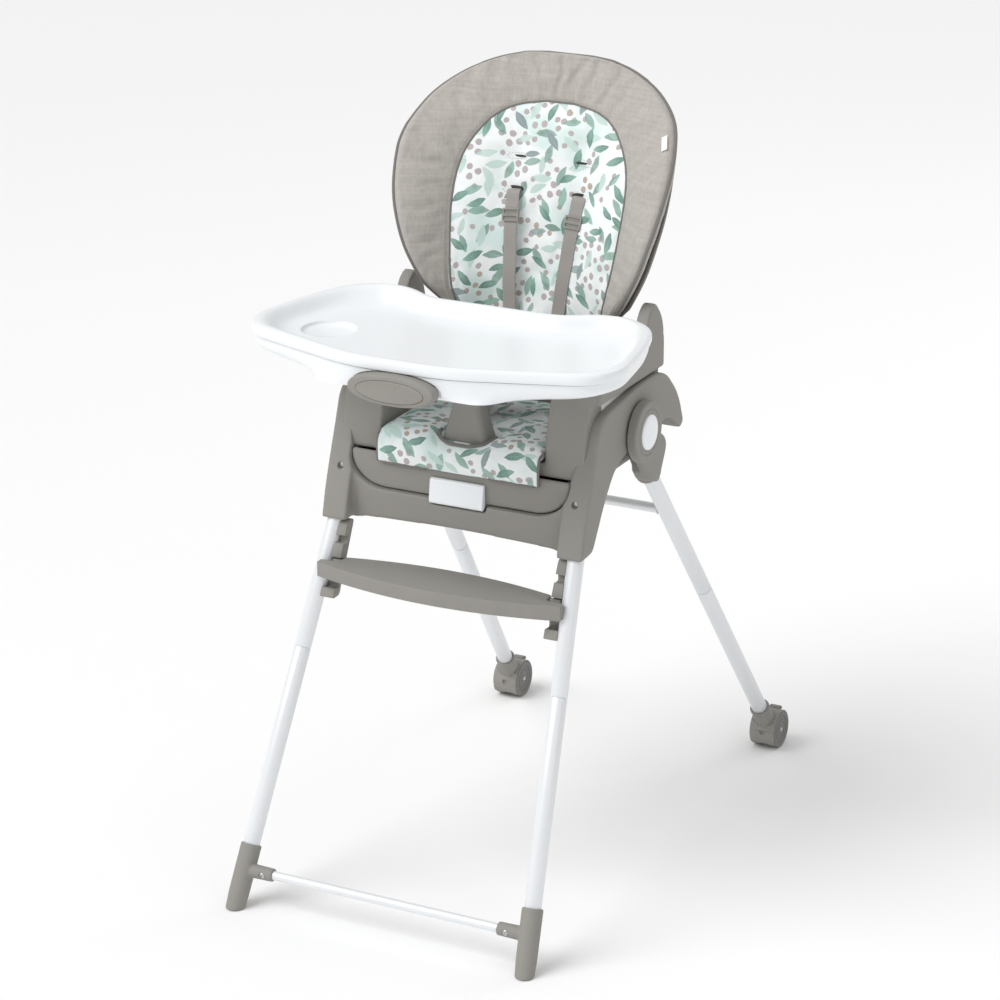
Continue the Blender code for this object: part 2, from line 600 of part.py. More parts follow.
def make_seat_shell(grey):
    """The upper moulding: floor, two hollow arms and the wings beside the back."""
    front, rear, low = SEAT_FRONT_Y + 0.0005, SEAT_REAR_Y - 0.0005, SEAM_Z + 0.0005
    floor = [(front, low), (rear, low), (rear, 0.6140), (rear - 0.0055, 0.6140),
             (rear - 0.0055, SEAT_FLOOR_Z), (front, SEAT_FLOOR_Z)]
    shell = slab("seat_shell", floor, -ARM_IN_X - 0.004, ARM_IN_X + 0.004, YZ, grey)
    for side in (-1, 1):
        low, high = sorted((side * ARM_IN_X, side * (WING_IN_X + 0.008)))
        join(shell, slab(f"arm_{side}", arm_outline(), low, high, YZ))
        low, high = sorted((side * WING_IN_X, side * WING_OUT_X))
        join(shell, slab(f"wing_{side}", wing_outline(), low, high, YZ, None, 0.004, 2))
        low, high = sorted((side * (ARM_IN_X + 0.0035), side * 0.1480))
        cut(shell, box(f"arm_room_{side}", (low, SEAT_FRONT_Y + 0.0140, 0.55),
                       (high, SEAT_REAR_Y - 0.0035, ARM_TOP_Z - 0.0140)))
    cut(shell,
        flare_side("shell_flare_R", 1, RUN), flare_side("shell_flare_L", -1, RUN),
        box("shell_room", (-ARM_IN_X + 0.004, SEAT_FRONT_Y + 0.0040, 0.55),
            (ARM_IN_X - 0.004, SEAT_REAR_Y - 0.0040, SEAT_FLOOR_Z - 0.0035)))


def make_crotch_post(grey):
    post = box("crotch_post", (-0.0350, -0.1640, SEAT_FLOOR_Z + GAP), (0.0350, -0.1220, 0.6690), grey, 0.42)
    soften(post, 0.009, 3)


def make_release_tab(white):
    y = PAN_FRONT_Y - RUN
    outline = rounded([(y, 0.5545, 0.002), (y - 0.0060, 0.5530, 0.003), (y - 0.0100, 0.5225, 0.004),
                       (y - 0.0070, 0.5195, 0.002), (y, 0.5230, 0.002)], 0.002)
    slab("seat_release_tab", outline, -0.0390, 0.0390, YZ, white, 0.0015, 1)


def make_seat_pad(fabric):
    """The cushion: it covers the floor, turns down over the front and is notched round the post."""
    floor = SEAT_FLOOR_Z + GAP
    front = SEAT_FRONT_Y - GAP
    outline = rounded([(front - 0.0150, 0.5640, 0.003), (front - 0.0090, 0.5640, 0.002),
                       (front - 0.0090, 0.5745, 0.001), (front, 0.5745, 0.001),
                       (front, floor, 0.001), (0.0200, floor, 0.002),
                       (0.0240, floor + 0.0180, 0.005), (-0.1460, floor + 0.0200, 0.02),
                       (front - 0.0100, floor + 0.0120, 0.008)], 0.003)
    pad = slab("seat_pad", outline, -PAD_HALF, PAD_HALF, YZ, fabric)
    cut(pad, box("post_notch", (-0.0358, -0.25, 0.5845), (0.0358, -0.1212, 0.70)))


# --------------------------------------------------------------------------------------------- back

# (height, size) stations: half width, how far the sides wrap forward, how far the top rolls back
BACK_WIDTHS = [(BACK_FOOT_Z, 0.096), (0.690, 0.096), (0.728, 0.120), (0.800, 0.162), (0.850, 0.179),
               (0.895, 0.186), (0.940, 0.183), (0.985, 0.163), (1.015, 0.133), (1.035, 0.098),
               (1.046, 0.062), (BACK_TOP_Z, 0.030)]
BACK_WRAPS = [(BACK_FOOT_Z, 0.004), (0.690, 0.014), (0.715, 0.036), (0.760, 0.072), (0.850, 0.091),
              (0.930, 0.070), (0.985, 0.034), (BACK_TOP_Z, 0.0)]
BACK_ROLL = [(0.960, 0.0), (BACK_TOP_Z, 0.014)]


def back_point(u, z):
    """A point on the front of the back pad: u runs from -1 to 1 across it."""
    x = u * smooth_between(BACK_WIDTHS, z)
    wrap = smooth_between(BACK_WRAPS, z) * u * u
    lean = BACK_MID_Y + BACK_LEAN * (z - BACK_MID_Z) + smooth_between(BACK_ROLL, z)
    return Vector((x, lean - wrap, z))


def back_layer(name, depth, thickness, low, high, inset, material):
    """One curved layer of the back: a sheet set back by depth and given thickness towards the rear."""
    bm = bmesh.new()
    bmesh.ops.create_grid(bm, x_segments=14, y_segments=20, size=1.0)
    for vert in bm.verts:
        u = math.sin(vert.co.x * math.pi / 2 * 0.92) / math.sin(math.pi / 2 * 0.92)
        z = low + (high - low) * math.sin((vert.co.y + 1) / 2 * math.pi / 2)
        vert.co = back_point(u * inset, z)
    obj = add(name, mesh_of(bm, name), material)
    if depth:
        shift = obj.modifiers.new("depth", "DISPLACE")
        shift.mid_level = 0.0
        shift.strength = -depth
    solid = obj.modifiers.new("thickness", "SOLIDIFY")
    solid.thickness = thickness
    solid.offset = -1.0
    return obj


def make_back(grey, fabric):
    back_layer("back_pad", 0.0, PAD_THICKNESS, BACK_FOOT_Z, BACK_TOP_Z, 1.0, fabric)
    back_layer("back_shell", PAD_THICKNESS + 0.0035, SHELL_THICKNESS, BACK_FOOT_Z + 0.004,
               BACK_TOP_Z - 0.012, 0.955, grey)
    handle = rounded([(0.0, 0.0), (0.016, 0.004), (0.018, 0.024), (0.010, 0.030), (0.0, 0.030)], 0.003)
    rear = back_point(0, 0.90) + Vector((0, PAD_THICKNESS + SHELL_THICKNESS + 0.0140, 0))
    slab("recline_handle", [(rear.y + u, rear.z + v) for u, v in handle], -0.045, 0.045, YZ, grey, 0.003, 2)


# ------------------------------------------------------------------------------------------ harness

def strap(name, start, end, width, thickness, facing, material):
    """A flat length of webbing between two points, its broad side turned to the direction facing."""
    start, end, facing = Vector(start), Vector(end), Vector(facing)
    run = (end - start).normalized()
    side = run.cross(facing).normalized()
    normal = side.cross(run)
    place = Matrix((side, normal, run)).transposed().to_4x4()
    place.translation = start
    length = (end - start).length
    bm = bmesh.new()
    bmesh.ops.create_cube(bm, size=1.0)
    bmesh.ops.scale(bm, vec=(width, thickness, length), verts=bm.verts)
    bmesh.ops.translate(bm, vec=(0, 0, length / 2), verts=bm.verts)
    bmesh.ops.transform(bm, matrix=place, verts=bm.verts)
    bmesh.ops.recalc_face_normals(bm, faces=bm.faces)
    return add(name, mesh_of(bm, name), material)


def make_harness(webbing, grey):
    top, low = Vector((0.0485, 0.0760, 0.8740)), Vector((0.0330, 0.0330, 0.6900))
    strap("shoulder_strap_R", top, low, 0.0190, 0.0016, (0, -1, 0), webbing)
    middle = top.lerp(low, 0.15) + Vector((0, -0.0035, 0))
    strap("strap_slider_R", middle, middle + (low - top).normalized() * 0.017, 0.0240, 0.0030, (0, -1, 0),
          grey)
    strap("waist_strap_R", (0.1000, 0.0050, 0.6250), (0.0310, -0.0610, 0.6400), 0.0190, 0.0016,
          (0, -0.3, 1), webbing)
    strap("crotch_strap", (0, -0.1150, 0.6150), (0, -0.0910, 0.6330), 0.0190, 0.0016, (0, -1, 1), webbing)
    buckle = box("buckle", (-0.0210, -0.0860, 0.6320), (0.0210, -0.0440, 0.6450), grey)
    soften(buckle, 0.003, 2)


# --------------------------------------------------------------------------------------------- tray

def tray_outline(inset):
    """The tray from above: bowed front, round corners and two horns beside the child's waist."""
    half, front, horn, waist = TRAY_HALF - inset, -0.3440 + inset, -0.0370 - inset, -0.0690 - inset
    right = [(0.070, front + 0.001, 0.06), (half - 0.022, front + 0.058, 0.05), (half, front + 0.105, 0.06),
             (half - 0.018, -0.1330, 0.10), (half - 0.040, horn - 0.028, 0.05), (0.180 - inset * 0.4, horn, 0.03),
             (0.133 + inset * 0.4, horn - 0.004, 0.03), (0.095, waist, 0.03)]
    left = [(-x, y, r) for x, y, r in reversed(right)]
    return rounded([(0, front, 0.05)] + right + [(0, waist, 0.05)] + left, 0.05, 5)


def make_tray(white, grey):
    """The base slides on the arms; the insert lifts out; the handle in front releases the base."""
    place = Matrix.Identity(4)
    base = slab("tray_base", tray_outline(0.0030), TRAY_BOTTOM_Z, TRAY_SPLIT_Z, place, white, 0.004, 2)
    keel = rounded([(-0.115, -0.3350, 0.02), (0.115, -0.3350, 0.02), (0.165, -0.2600, 0.03), (0.165, -0.1000, 0.02),
                    (-0.165, -0.1000, 0.02), (-0.165, -0.2600, 0.03)], 0.02)
    join(base, slab("tray_keel", keel, ARM_TOP_Z + 0.0120, TRAY_BOTTOM_Z + 0.004, place, None, 0.003, 2))
    cut(base, slab("base_room", tray_outline(0.0100), TRAY_BOTTOM_Z + 0.0030, 0.80, place),
        slab("keel_room", [(x * 0.96, y * 0.975 - 0.006) for x, y in keel], ARM_TOP_Z + 0.0155, 0.80, place),
        box("handle_notch", (-0.0640, -0.40, 0.70), (0.0640, -0.3240, 0.7600)))
    for side in (-1, 1):
        low, high = sorted((side * 0.1250, side * 0.1600))
        join(base, box(f"runner_{side}", (low, -0.1300, ARM_TOP_Z + RUN), (high, -0.1050, ARM_TOP_Z + 0.0140)))
    insert = slab("tray_insert", tray_outline(0.0), TRAY_SPLIT_Z + GAP, TRAY_TOP_Z, place, white, 0.004, 2)
    join(insert, slab("insert_tub", tray_outline(0.0115), TRAY_BOTTOM_Z + 0.0036, TRAY_TOP_Z - 0.004, place))
    cut(insert, slab("insert_room", tray_outline(0.0190), TRAY_BOTTOM_Z + 0.0120, 0.80, place),
        rod("cup_room", (-0.1700, -0.2050, TRAY_BOTTOM_Z + 0.0065), (-0.1700, -0.2050, 0.80), 0.036,
            sides=BIG_ROUND))
    handle = slab("tray_handle", oval(0.0603, 0.0198, (0, HANDLE_Z), power=0.9), 0.3370, 0.3560, XZ, grey,
                  0.003, 2)
    cut(handle, slab("badge_seat", oval(0.0475, 0.0143, (0, HANDLE_Z - 0.001)), 0.3545, 0.37, XZ))
    slab("tray_badge", oval(0.0470, 0.0138, (0, HANDLE_Z - 0.001)), 0.3548, 0.3570, XZ, grey)


# -------------------------------------------------------------------------------------------- build

def pivot(name, place, nodes, parent=None):
    """An empty on a joint's axis. It carries the named pieces, and other empties, without moving them."""
    empty = bpy.data.objects.new(name, None)
    empty.empty_display_size = 0.02
    empty.matrix_world = Matrix.Translation(place)
    bpy.data.collections["baby_high_chair"].objects.link(empty)
    for node in nodes:
        child = bpy.data.objects[node]
        child.parent = empty
        child.matrix_parent_inverse = Matrix.Translation(place).inverted()
    return empty


def make_pivots():
    for side, sign in (("R", 1), ("L", -1)):
        axle = Vector((sign * CASTER.x, CASTER.y, CASTER.z))
        pivot(f"wheel_axis_{side}", axle, [f"caster_wheel_outer_{side}", f"caster_wheel_inner_{side}"])
        pivot(f"brake_axis_{side}", axle + BRAKE_PIVOT, [f"brake_lever_{side}"])
    turning = ["hub_socket", "fold_button", "rear_leg_upper", "rear_leg_lower", "caster_body", "caster_axle",
               "wheel_axis", "brake_axis"]
    pivot("fold_axis", (0, HUB_Y, HUB_Z),
          [f"{piece}_{side}" for piece in turning for side in "RL"] + ["rear_crossbar"])
    pivot("recline_axis", (0, RECLINE_Y, RECLINE_Z),
          ["back_shell", "back_pad", "recline_handle"]
          + [f"{piece}_{side}" for piece in ("shoulder_strap", "strap_slider") for side in "RL"])
    pivot("release_axis", (0, PAN_FRONT_Y - RUN, 0.5545), ["seat_release_tab"])
    pivot("tray_place", (0, -0.1000, ARM_TOP_Z), ["tray_base", "tray_insert", "tray_handle", "tray_badge"])
    pivot("footrest_place", (0, -0.2240, FOOTREST_PEG_Z), ["footrest_plate"])
    pivot("seat_place", (0, 0, SEAM_Z),
          ["seat_pan", "seat_shell", "crotch_post", "seat_pad", "waist_strap_R", "waist_strap_L", "crotch_strap",
           "buckle", "recline_axis", "release_axis", "tray_place"])


def main():
    clear_scene()
    grey = finish("grey_plastic", (0.28, 0.265, 0.245), 0.45)
    dark = finish("caster_plastic", (0.22, 0.21, 0.20), 0.50)
    white = finish("white_plastic", (0.88, 0.90, 0.92), 0.35)
    enamel = finish("white_enamel", (0.82, 0.84, 0.86), 0.28)
    steel = finish("steel", (0.55, 0.55, 0.56), 0.35, 1.0)
    fabric = finish("patterned_fabric", (0.78, 0.82, 0.81), 0.90)
    webbing = finish("webbing", (0.33, 0.31, 0.29), 0.85)

    make_front_legs(enamel)
    make_front_foot(grey, steel)
    make_front_crossbar(enamel)
    make_side_housing(grey, steel)
    make_front_apron(grey)
    make_footrest_brackets(grey)
    make_footrest(grey)
    make_hub(grey, white, steel)
    make_rear_legs(enamel)
    make_caster(grey, dark, steel)
    make_seat_pan(grey)
    make_seat_shell(grey)
    make_crotch_post(grey)
    make_release_tab(white)
    make_seat_pad(fabric)
    make_back(grey, fabric)
    make_harness(webbing, grey)
    make_tray(white, grey)

    for obj in list(bpy.data.collections["baby_high_chair"].objects):
        if obj.name.endswith("_R"):
            mirrored(obj)
    make_pivots()
    for obj in bpy.data.objects:
        if obj.parent is None:
            obj.matrix_world = Matrix.Translation((0, -MIDDLE_Y, 0)) @ obj.matrix_world


main()
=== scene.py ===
"""A folding baby high chair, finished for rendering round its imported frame.

The side pieces are drawn on the +X side and mirrored. Lengths are in metres, +Z up, the child faces -Y.
Outlines are drawn about the fold geometry, and placed() moves them to the frame's own origin.
"""

import math

import bmesh
import bpy
import numpy as np
from bpy.props import FloatProperty, FloatVectorProperty, IntProperty, PointerProperty
from mathutils import Matrix, Vector, noise
from mathutils.bvhtree import BVHTree


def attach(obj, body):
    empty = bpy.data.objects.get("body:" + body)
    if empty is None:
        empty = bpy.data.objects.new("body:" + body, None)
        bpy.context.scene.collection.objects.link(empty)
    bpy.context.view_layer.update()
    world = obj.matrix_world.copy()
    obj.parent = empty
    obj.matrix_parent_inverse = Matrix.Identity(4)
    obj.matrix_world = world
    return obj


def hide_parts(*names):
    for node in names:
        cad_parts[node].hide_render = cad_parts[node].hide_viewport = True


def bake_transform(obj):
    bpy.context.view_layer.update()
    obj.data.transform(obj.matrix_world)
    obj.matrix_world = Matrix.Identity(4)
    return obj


bl_info = {
    "name": "Baby High Chair",
    "version": (1, 0, 0),
    "blender": (4, 5, 0),
    "location": "View3D > Sidebar > High Chair",
    "description": "Builds the covers, cloth, straps, casters and studio of a folding baby high chair",
    "category": "Object",
}

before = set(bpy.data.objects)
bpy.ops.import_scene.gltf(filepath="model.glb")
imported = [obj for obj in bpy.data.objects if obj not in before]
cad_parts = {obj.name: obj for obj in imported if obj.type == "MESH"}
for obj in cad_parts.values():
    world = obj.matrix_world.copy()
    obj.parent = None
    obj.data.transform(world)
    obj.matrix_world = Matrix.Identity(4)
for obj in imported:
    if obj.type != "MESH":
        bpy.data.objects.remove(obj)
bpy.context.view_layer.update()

MIDDLE_Y = 0.0037                                   # from the drawing's origin to the frame's
FOOT = Vector((0.2116, -0.4060, 0.0))               # right front foot
FRONT_LEAN = Vector((-0.0783, 0.4556, 1.0))         # travel along the front leg for each metre of height
CASTER = Vector((0.2086, 0.3965, 0.0265))           # right caster's axle
REAR_LEAN = Vector((-0.0682, -0.7290, 1.0))
HUB = Vector((0.0, -0.0335, 0.6080))                # fold pivot
TUBE_R = 0.0110
FRONT_SEAM_Z, REAR_SEAM_Z = 0.3200, 0.3120
HOUSING_IN_X, HOUSING_OUT_X = 0.1527, 0.1886
FLARE_Z, FLARE = 0.5500, 0.1950                     # the housing's inner face leans out above FLARE_Z
HOUSING_TOP_Z = 0.6680
SEAM_Z, SEAT_FLOOR_Z, ARM_TOP_Z = 0.5740, 0.5920, 0.7060
SEAT_FRONT_Y, SEAT_REAR_Y, PAN_FRONT_Y = -0.1655, 0.0600, -0.1740
PAN_HALF, PAN_BOTTOM_Z = 0.1575, 0.5262
ARM_IN_X, WING_IN_X, WING_OUT_X = 0.1180, 0.1665, 0.1845
BACK_FOOT_Z, BACK_TOP_Z = 0.6220, 1.0500
BACK_MID_Z, BACK_MID_Y, BACK_LEAN = 0.8740, 0.0880, 0.2126
PAD_DEPTH = 0.0200
TRAY_HALF, TRAY_BOTTOM_Z, TRAY_SPLIT_Z, TRAY_TOP_Z, HANDLE_Z = 0.2620, 0.7300, 0.7460, 0.7610, 0.7260

YZ = Matrix(((0, 0, 1, 0), (1, 0, 0, 0), (0, 1, 0, 0), (0, 0, 0, 1)))     # outlines seen from +X
XZ = Matrix(((1, 0, 0, 0), (0, 0, -1, 0), (0, 1, 0, 0), (0, 0, 0, 1)))    # outlines seen from -Y
XY = Matrix.Identity(4)                                                   # outlines seen from above


# ------------------------------------------------------------------------------------- drawing tools

def front_leg(z):
    return FOOT + FRONT_LEAN * z


def rear_leg(z):
    return CASTER + REAR_LEAN * (z - CASTER.z)


def along(start, end):
    """A frame at start whose Z axis runs to end."""
    direction = (Vector(end) - Vector(start)).normalized()
    return Matrix.Translation(start) @ direction.to_track_quat("Z", "Y").to_matrix().to_4x4()


def rounded(points, radius, steps=8):
    """Replaces each corner of a closed outline by an arc; a point may carry its own radius."""
    result = []
    for index, point in enumerate(points):
        here = Vector(point[:2])
        before, after = Vector(points[index - 1][:2]), Vector(points[(index + 1) % len(points)][:2])
        size = point[2] if len(point) > 2 else radius
        back, ahead = before - here, after - here
        reach = min(size, 0.47 * back.length, 0.47 * ahead.length)
        if reach < 0.0004:
            result.append(tuple(here))
            continue
        start, end = here + back.normalized() * reach, here + ahead.normalized() * reach
        for step in range(steps + 1):
            t = step / steps
            result.append(tuple(start * (1 - t) ** 2 + here * 2 * t * (1 - t) + end * t ** 2))
    return result


def oval(half_width, half_height, centre, sides=64, power=1.0):
    """An ellipse; a power under 1 squares it off."""
    points = []
    for step in range(sides):
        angle = 2 * math.pi * step / sides
        cosine, sine = math.cos(angle), math.sin(angle)
        points.append((centre[0] + half_width * math.copysign(abs(cosine) ** power, cosine),
                       centre[1] + half_height * math.copysign(abs(sine) ** power, sine)))
    return points


def smooth_between(stations, value):
    """Reads a smooth curve through (place, size) stations."""
    if value <= stations[0][0]:
        return stations[0][1]
    for index, (low, first) in enumerate(stations[:-1]):
        high, second = stations[index + 1]
        if value <= high:
            before, after = stations[max(index - 1, 0)], stations[min(index + 2, len(stations) - 1)]
            width = high - low
            t = (value - low) / width
            leave = width * (second - before[1]) / (high - before[0])
            arrive = width * (after[1] - first) / (after[0] - low)
            return ((2 * t ** 3 - 3 * t ** 2 + 1) * first + (t ** 3 - 2 * t ** 2 + t) * leave
                    + (3 * t ** 2 - 2 * t ** 3) * second + (t ** 3 - t ** 2) * arrive)
    return stations[-1][1]


def linked(name, data):
    obj = bpy.data.objects.new(name, data)
    bpy.context.scene.collection.objects.link(obj)
    return obj


def mesh_object(name, verts, faces):
    mesh = bpy.data.meshes.new(name)
    mesh.from_pydata([tuple(v) for v in verts], [], faces)
    return linked(name, mesh)


def faced_out(mesh, merge=None):
    """Turns a closed mesh's faces outwards, after points nearer than merge are made one."""
    bm = bmesh.new()
    bm.from_mesh(mesh)
    if merge:
        bmesh.ops.remove_doubles(bm, verts=bm.verts, dist=merge)
    bmesh.ops.recalc_face_normals(bm, faces=bm.faces)
    bm.to_mesh(mesh)
    bm.free()


def add_print_map(mesh, places):
    """Writes the Print UV map, one place for each point; a second skin has the first one's places."""
    layer = mesh.uv_layers.new(name="Print")
    for loop in mesh.loops:
        layer.uv[loop.index].vector = places[loop.vertex_index % len(places)]


def mark_skins(mesh, places, borders):
    """Gives a pad of two skins its print map, border values and rear side mark."""
    add_print_map(mesh, places)
    count = len(borders)
    for name, values in (("border", borders * 2), ("rear_side", [0.0] * count + [1.0] * count)):
        mesh.attributes.new(name, "FLOAT", "POINT").data.foreach_set("value", values)


def skin_faces(rows, columns):
    """Faces of a front grid of points and of the rear grid that follows it."""
    count, faces = columns * rows, []
    for row in range(rows - 1):
        for column in range(columns - 1):
            a = row * columns + column
            quad = (a, a + 1, a + columns + 1, a + columns)
            faces += [quad, tuple(count + i for i in reversed(quad))]
    return faces


def sleeve_faces(rings, sides):
    """Faces that join rings of points into a sleeve, open at both ends."""
    faces = []
    for ring in range(rings - 1):
        for step in range(sides):
            a, b = ring * sides + step, ring * sides + (step + 1) % sides
            faces.append((a, b, b + sides, a + sides))
    return faces


def capped_sleeve(name, verts, places, sides):
    """A closed mesh through rings of points, with a print map."""
    faces = sleeve_faces(len(verts) // sides, sides)
    faces += [tuple(reversed(range(sides))), tuple(range(len(verts) - sides, len(verts)))]
    obj = mesh_object(name, verts, faces)
    add_print_map(obj.data, places)
    return obj


def settled(obj):
    """Applies an object's modifiers and its place to its mesh."""
    bpy.context.view_layer.update()
    evaluated = obj.evaluated_get(bpy.context.evaluated_depsgraph_get())
    mesh = bpy.data.meshes.new_from_object(evaluated)
    mesh.transform(obj.matrix_world)
    mesh.name = obj.name
    made = linked(obj.name + "_settled", mesh)
    name = obj.name
    bpy.data.objects.remove(obj)
    made.name = name
    return made


def slab(name, outline, low, high, place, bevel=0.0, segments=4):
    """A flat outline given thickness between low and high along the Z axis of the frame called place."""
    curve = bpy.data.curves.new(name, "CURVE")
    curve.dimensions, curve.fill_mode = "2D", "BOTH"
    curve.extrude = (high - low) / 2
    spline = curve.splines.new("POLY")
    spline.points.add(len(outline) - 1)
    for point, (u, v) in zip(spline.points, outline):
        point.co = (u, v, 0, 1)
    spline.use_cyclic_u = True
    obj = settled(linked(name, curve))
    bm = bmesh.new()
    bm.from_mesh(obj.data)
    bmesh.ops.remove_doubles(bm, verts=bm.verts, dist=0.00001)
    bmesh.ops.dissolve_limit(bm, angle_limit=0.001, verts=bm.verts, edges=bm.edges)
    bmesh.ops.translate(bm, vec=(0, 0, (low + high) / 2), verts=bm.verts)
    bmesh.ops.transform(bm, matrix=place, verts=bm.verts)
    bmesh.ops.recalc_face_normals(bm, faces=bm.faces)
    bm.to_mesh(obj.data)
    bm.free()
    if bevel:
        obj = softened(obj, bevel, segments)
    return obj


def softened(obj, width, segments=3, angle=35):
    bevel = obj.modifiers.new("round", "BEVEL")
    bevel.width, bevel.segments, bevel.limit_method = width, segments, "ANGLE"
    bevel.angle_limit = math.radians(angle)
    bevel.harden_normals = True
    return settled(obj)


def turned(name, profile, place, sides=64):
    """Turns a (radius, height) profile, run down its outer side, about the Z axis of the frame place."""
    bm = bmesh.new()
    points = [bm.verts.new((radius, 0, height)) for radius, height in profile]
    edges = [bm.edges.new(pair) for pair in zip(points, points[1:])]
    if profile[0][0] > 0:
        edges.append(bm.edges.new((points[-1], points[0])))
    bmesh.ops.spin(bm, geom=points + edges, cent=(0, 0, 0), axis=(0, 0, 1), angle=2 * math.pi, steps=sides)
    bmesh.ops.remove_doubles(bm, verts=bm.verts, dist=0.00001)
    bmesh.ops.recalc_face_normals(bm, faces=bm.faces)
    bmesh.ops.transform(bm, matrix=place, verts=bm.verts)
    mesh = bpy.data.meshes.new(name)
    bm.to_mesh(mesh)
    bm.free()
    return linked(name, mesh)


def rod(name, start, end, radius, end_radius=None, sides=48, edge=0.0006):
    length = (Vector(end) - Vector(start)).length
    far = radius if end_radius is None else end_radius
    profile = [(0, length), (far - edge, length), (far, length - edge), (radius, edge), (radius - edge, 0), (0, 0)]
    return turned(name, profile, along(start, end), sides)


def block(name, low, high, taper=1.0, bevel=0.0, segments=4):
    """A block between two corners; taper scales its top face about the block's middle."""
    low, high = Vector(low), Vector(high)
    bm = bmesh.new()
    bmesh.ops.create_cube(bm, size=1.0)
    for vert in bm.verts:
        if vert.co.z > 0:
            vert.co.x *= taper
            vert.co.y *= taper
    bmesh.ops.scale(bm, vec=high - low, verts=bm.verts)
    bmesh.ops.translate(bm, vec=(low + high) / 2, verts=bm.verts)
    mesh = bpy.data.meshes.new(name)
    bm.to_mesh(mesh)
    bm.free()
    obj = linked(name, mesh)
    return softened(obj, bevel, segments) if bevel else obj


def combined(obj, operation, *others):
    """Joins or cuts obj with the others, which are used up."""
    for other in others:
        modifier = obj.modifiers.new(other.name, "BOOLEAN")
        modifier.operation, modifier.object, modifier.solver = operation, other, "MANIFOLD"
    obj = settled(obj)
    for other in others:
        bpy.data.objects.remove(other)
    return obj


def joined(obj, *others):
    return combined(obj, "UNION", *others)


def cut(obj, *others):
    return combined(obj, "DIFFERENCE", *others)


def moulded(obj, voxel, passes=6):
    """Melts a solid's edges and inner corners together, as a moulding's are."""
    remesh = obj.modifiers.new("melt", "REMESH")
    remesh.mode, remesh.voxel_size, remesh.use_smooth_shade = "VOXEL", voxel, True
    relax = obj.modifiers.new("relax", "SMOOTH")
    relax.factor, relax.iterations = 0.5, passes
    return settled(obj)


def mirror_copy(obj, name):
    mesh = obj.data.copy()
    bm = bmesh.new()
    bm.from_mesh(mesh)
    bmesh.ops.transform(bm, matrix=Matrix.Diagonal((-1, 1, 1, 1)), verts=bm.verts)
    bmesh.ops.reverse_faces(bm, faces=bm.faces)
    bm.to_mesh(mesh)
    bm.free()
    return linked(name, mesh)


def placed(obj, body, material, nodes=(), sharp=32):
    """Finishes a piece: moves it to the frame's origin, shades it, and rides it on its body."""
    obj.data.transform(Matrix.Translation((0, -MIDDLE_Y, 0)))
    obj.data.shade_smooth()
    if sharp:
        obj.data.set_sharp_from_angle(angle=math.radians(sharp))
    obj.data.materials.clear()
    obj.data.materials.append(finish(material))
    if body:
        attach(obj, body)
    if nodes:
        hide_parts(*nodes)
    return obj


def both_sides(obj, body, material, nodes=(), sharp=32):
    """Places a right-hand piece and its mirrored twin. A body name ending in _right has a _left twin."""
    twin = mirror_copy(obj, obj.name[:-1] + "L")
    placed(obj, body, material, [f"{node}_R" for node in nodes], sharp)
    placed(twin, body.replace("_right", "_left"), material, [f"{node}_L" for node in nodes], sharp)


# ---------------------------------------------------------------------------------------- materials

def node(tree, kind, inputs=None, **settings):
    made = tree.nodes.new(kind)
    for key, value in settings.items():
        setattr(made, key, value)
    for key, value in (inputs or {}).items():
        if isinstance(value, bpy.types.NodeSocket):
            tree.links.new(value, made.inputs[key])
        else:
            made.inputs[key].default_value = value
    return made


def maths(tree, operation, first, second=0.0, third=0.0, clamp=False):
    return node(tree, "ShaderNodeMath", {0: first, 1: second, 2: third}, operation=operation,
                use_clamp=clamp).outputs[0]


def mixed(tree, factor, first, second, blend="MIX"):
    made = node(tree, "ShaderNodeMix", {0: factor}, data_type="RGBA", blend_type=blend)
    for index, value in ((6, first), (7, second)):
        if isinstance(value, bpy.types.NodeSocket):
            tree.links.new(value, made.inputs[index])
        else:
            made.inputs[index].default_value = (*value, 1.0)
    return made.outputs[2]


def grain(tree, vector, scale, detail=3.0, roughness=0.5, stretch=None):
    if stretch:
        vector = node(tree, "ShaderNodeMapping", {"Vector": vector, "Scale": stretch}).outputs[0]
    return node(tree, "ShaderNodeTexNoise", {"Vector": vector, "Scale": scale, "Detail": detail,
                                             "Roughness": roughness}).outputs["Fac"]


def spread(tree, value, low, high, out_low=0.0, out_high=1.0, smooth=False):
    return node(tree, "ShaderNodeMapRange", {0: value, 1: low, 2: high, 3: out_low, 4: out_high},
                interpolation_type="SMOOTHSTEP" if smooth else "LINEAR", clamp=True).outputs[0]


def start_material(name, colour, roughness, **shader):
    material = bpy.data.materials.new(name)
    material.use_nodes = True
    tree = material.node_tree
    surface = tree.nodes["Principled BSDF"]
    surface.inputs["Base Color"].default_value = (*colour, 1.0)
    surface.inputs["Roughness"].default_value = roughness
    for key, value in shader.items():
        surface.inputs[key.replace("_", " ")].default_value = value
    place = node(tree, "ShaderNodeTexCoord").outputs["Object"]
    return material, tree, surface, place


def set_bump(tree, surface, height, strength, distance):
    bump = node(tree, "ShaderNodeBump", {"Height": height, "Strength": strength, "Distance": distance})
    tree.links.new(bump.outputs[0], surface.inputs["Normal"])


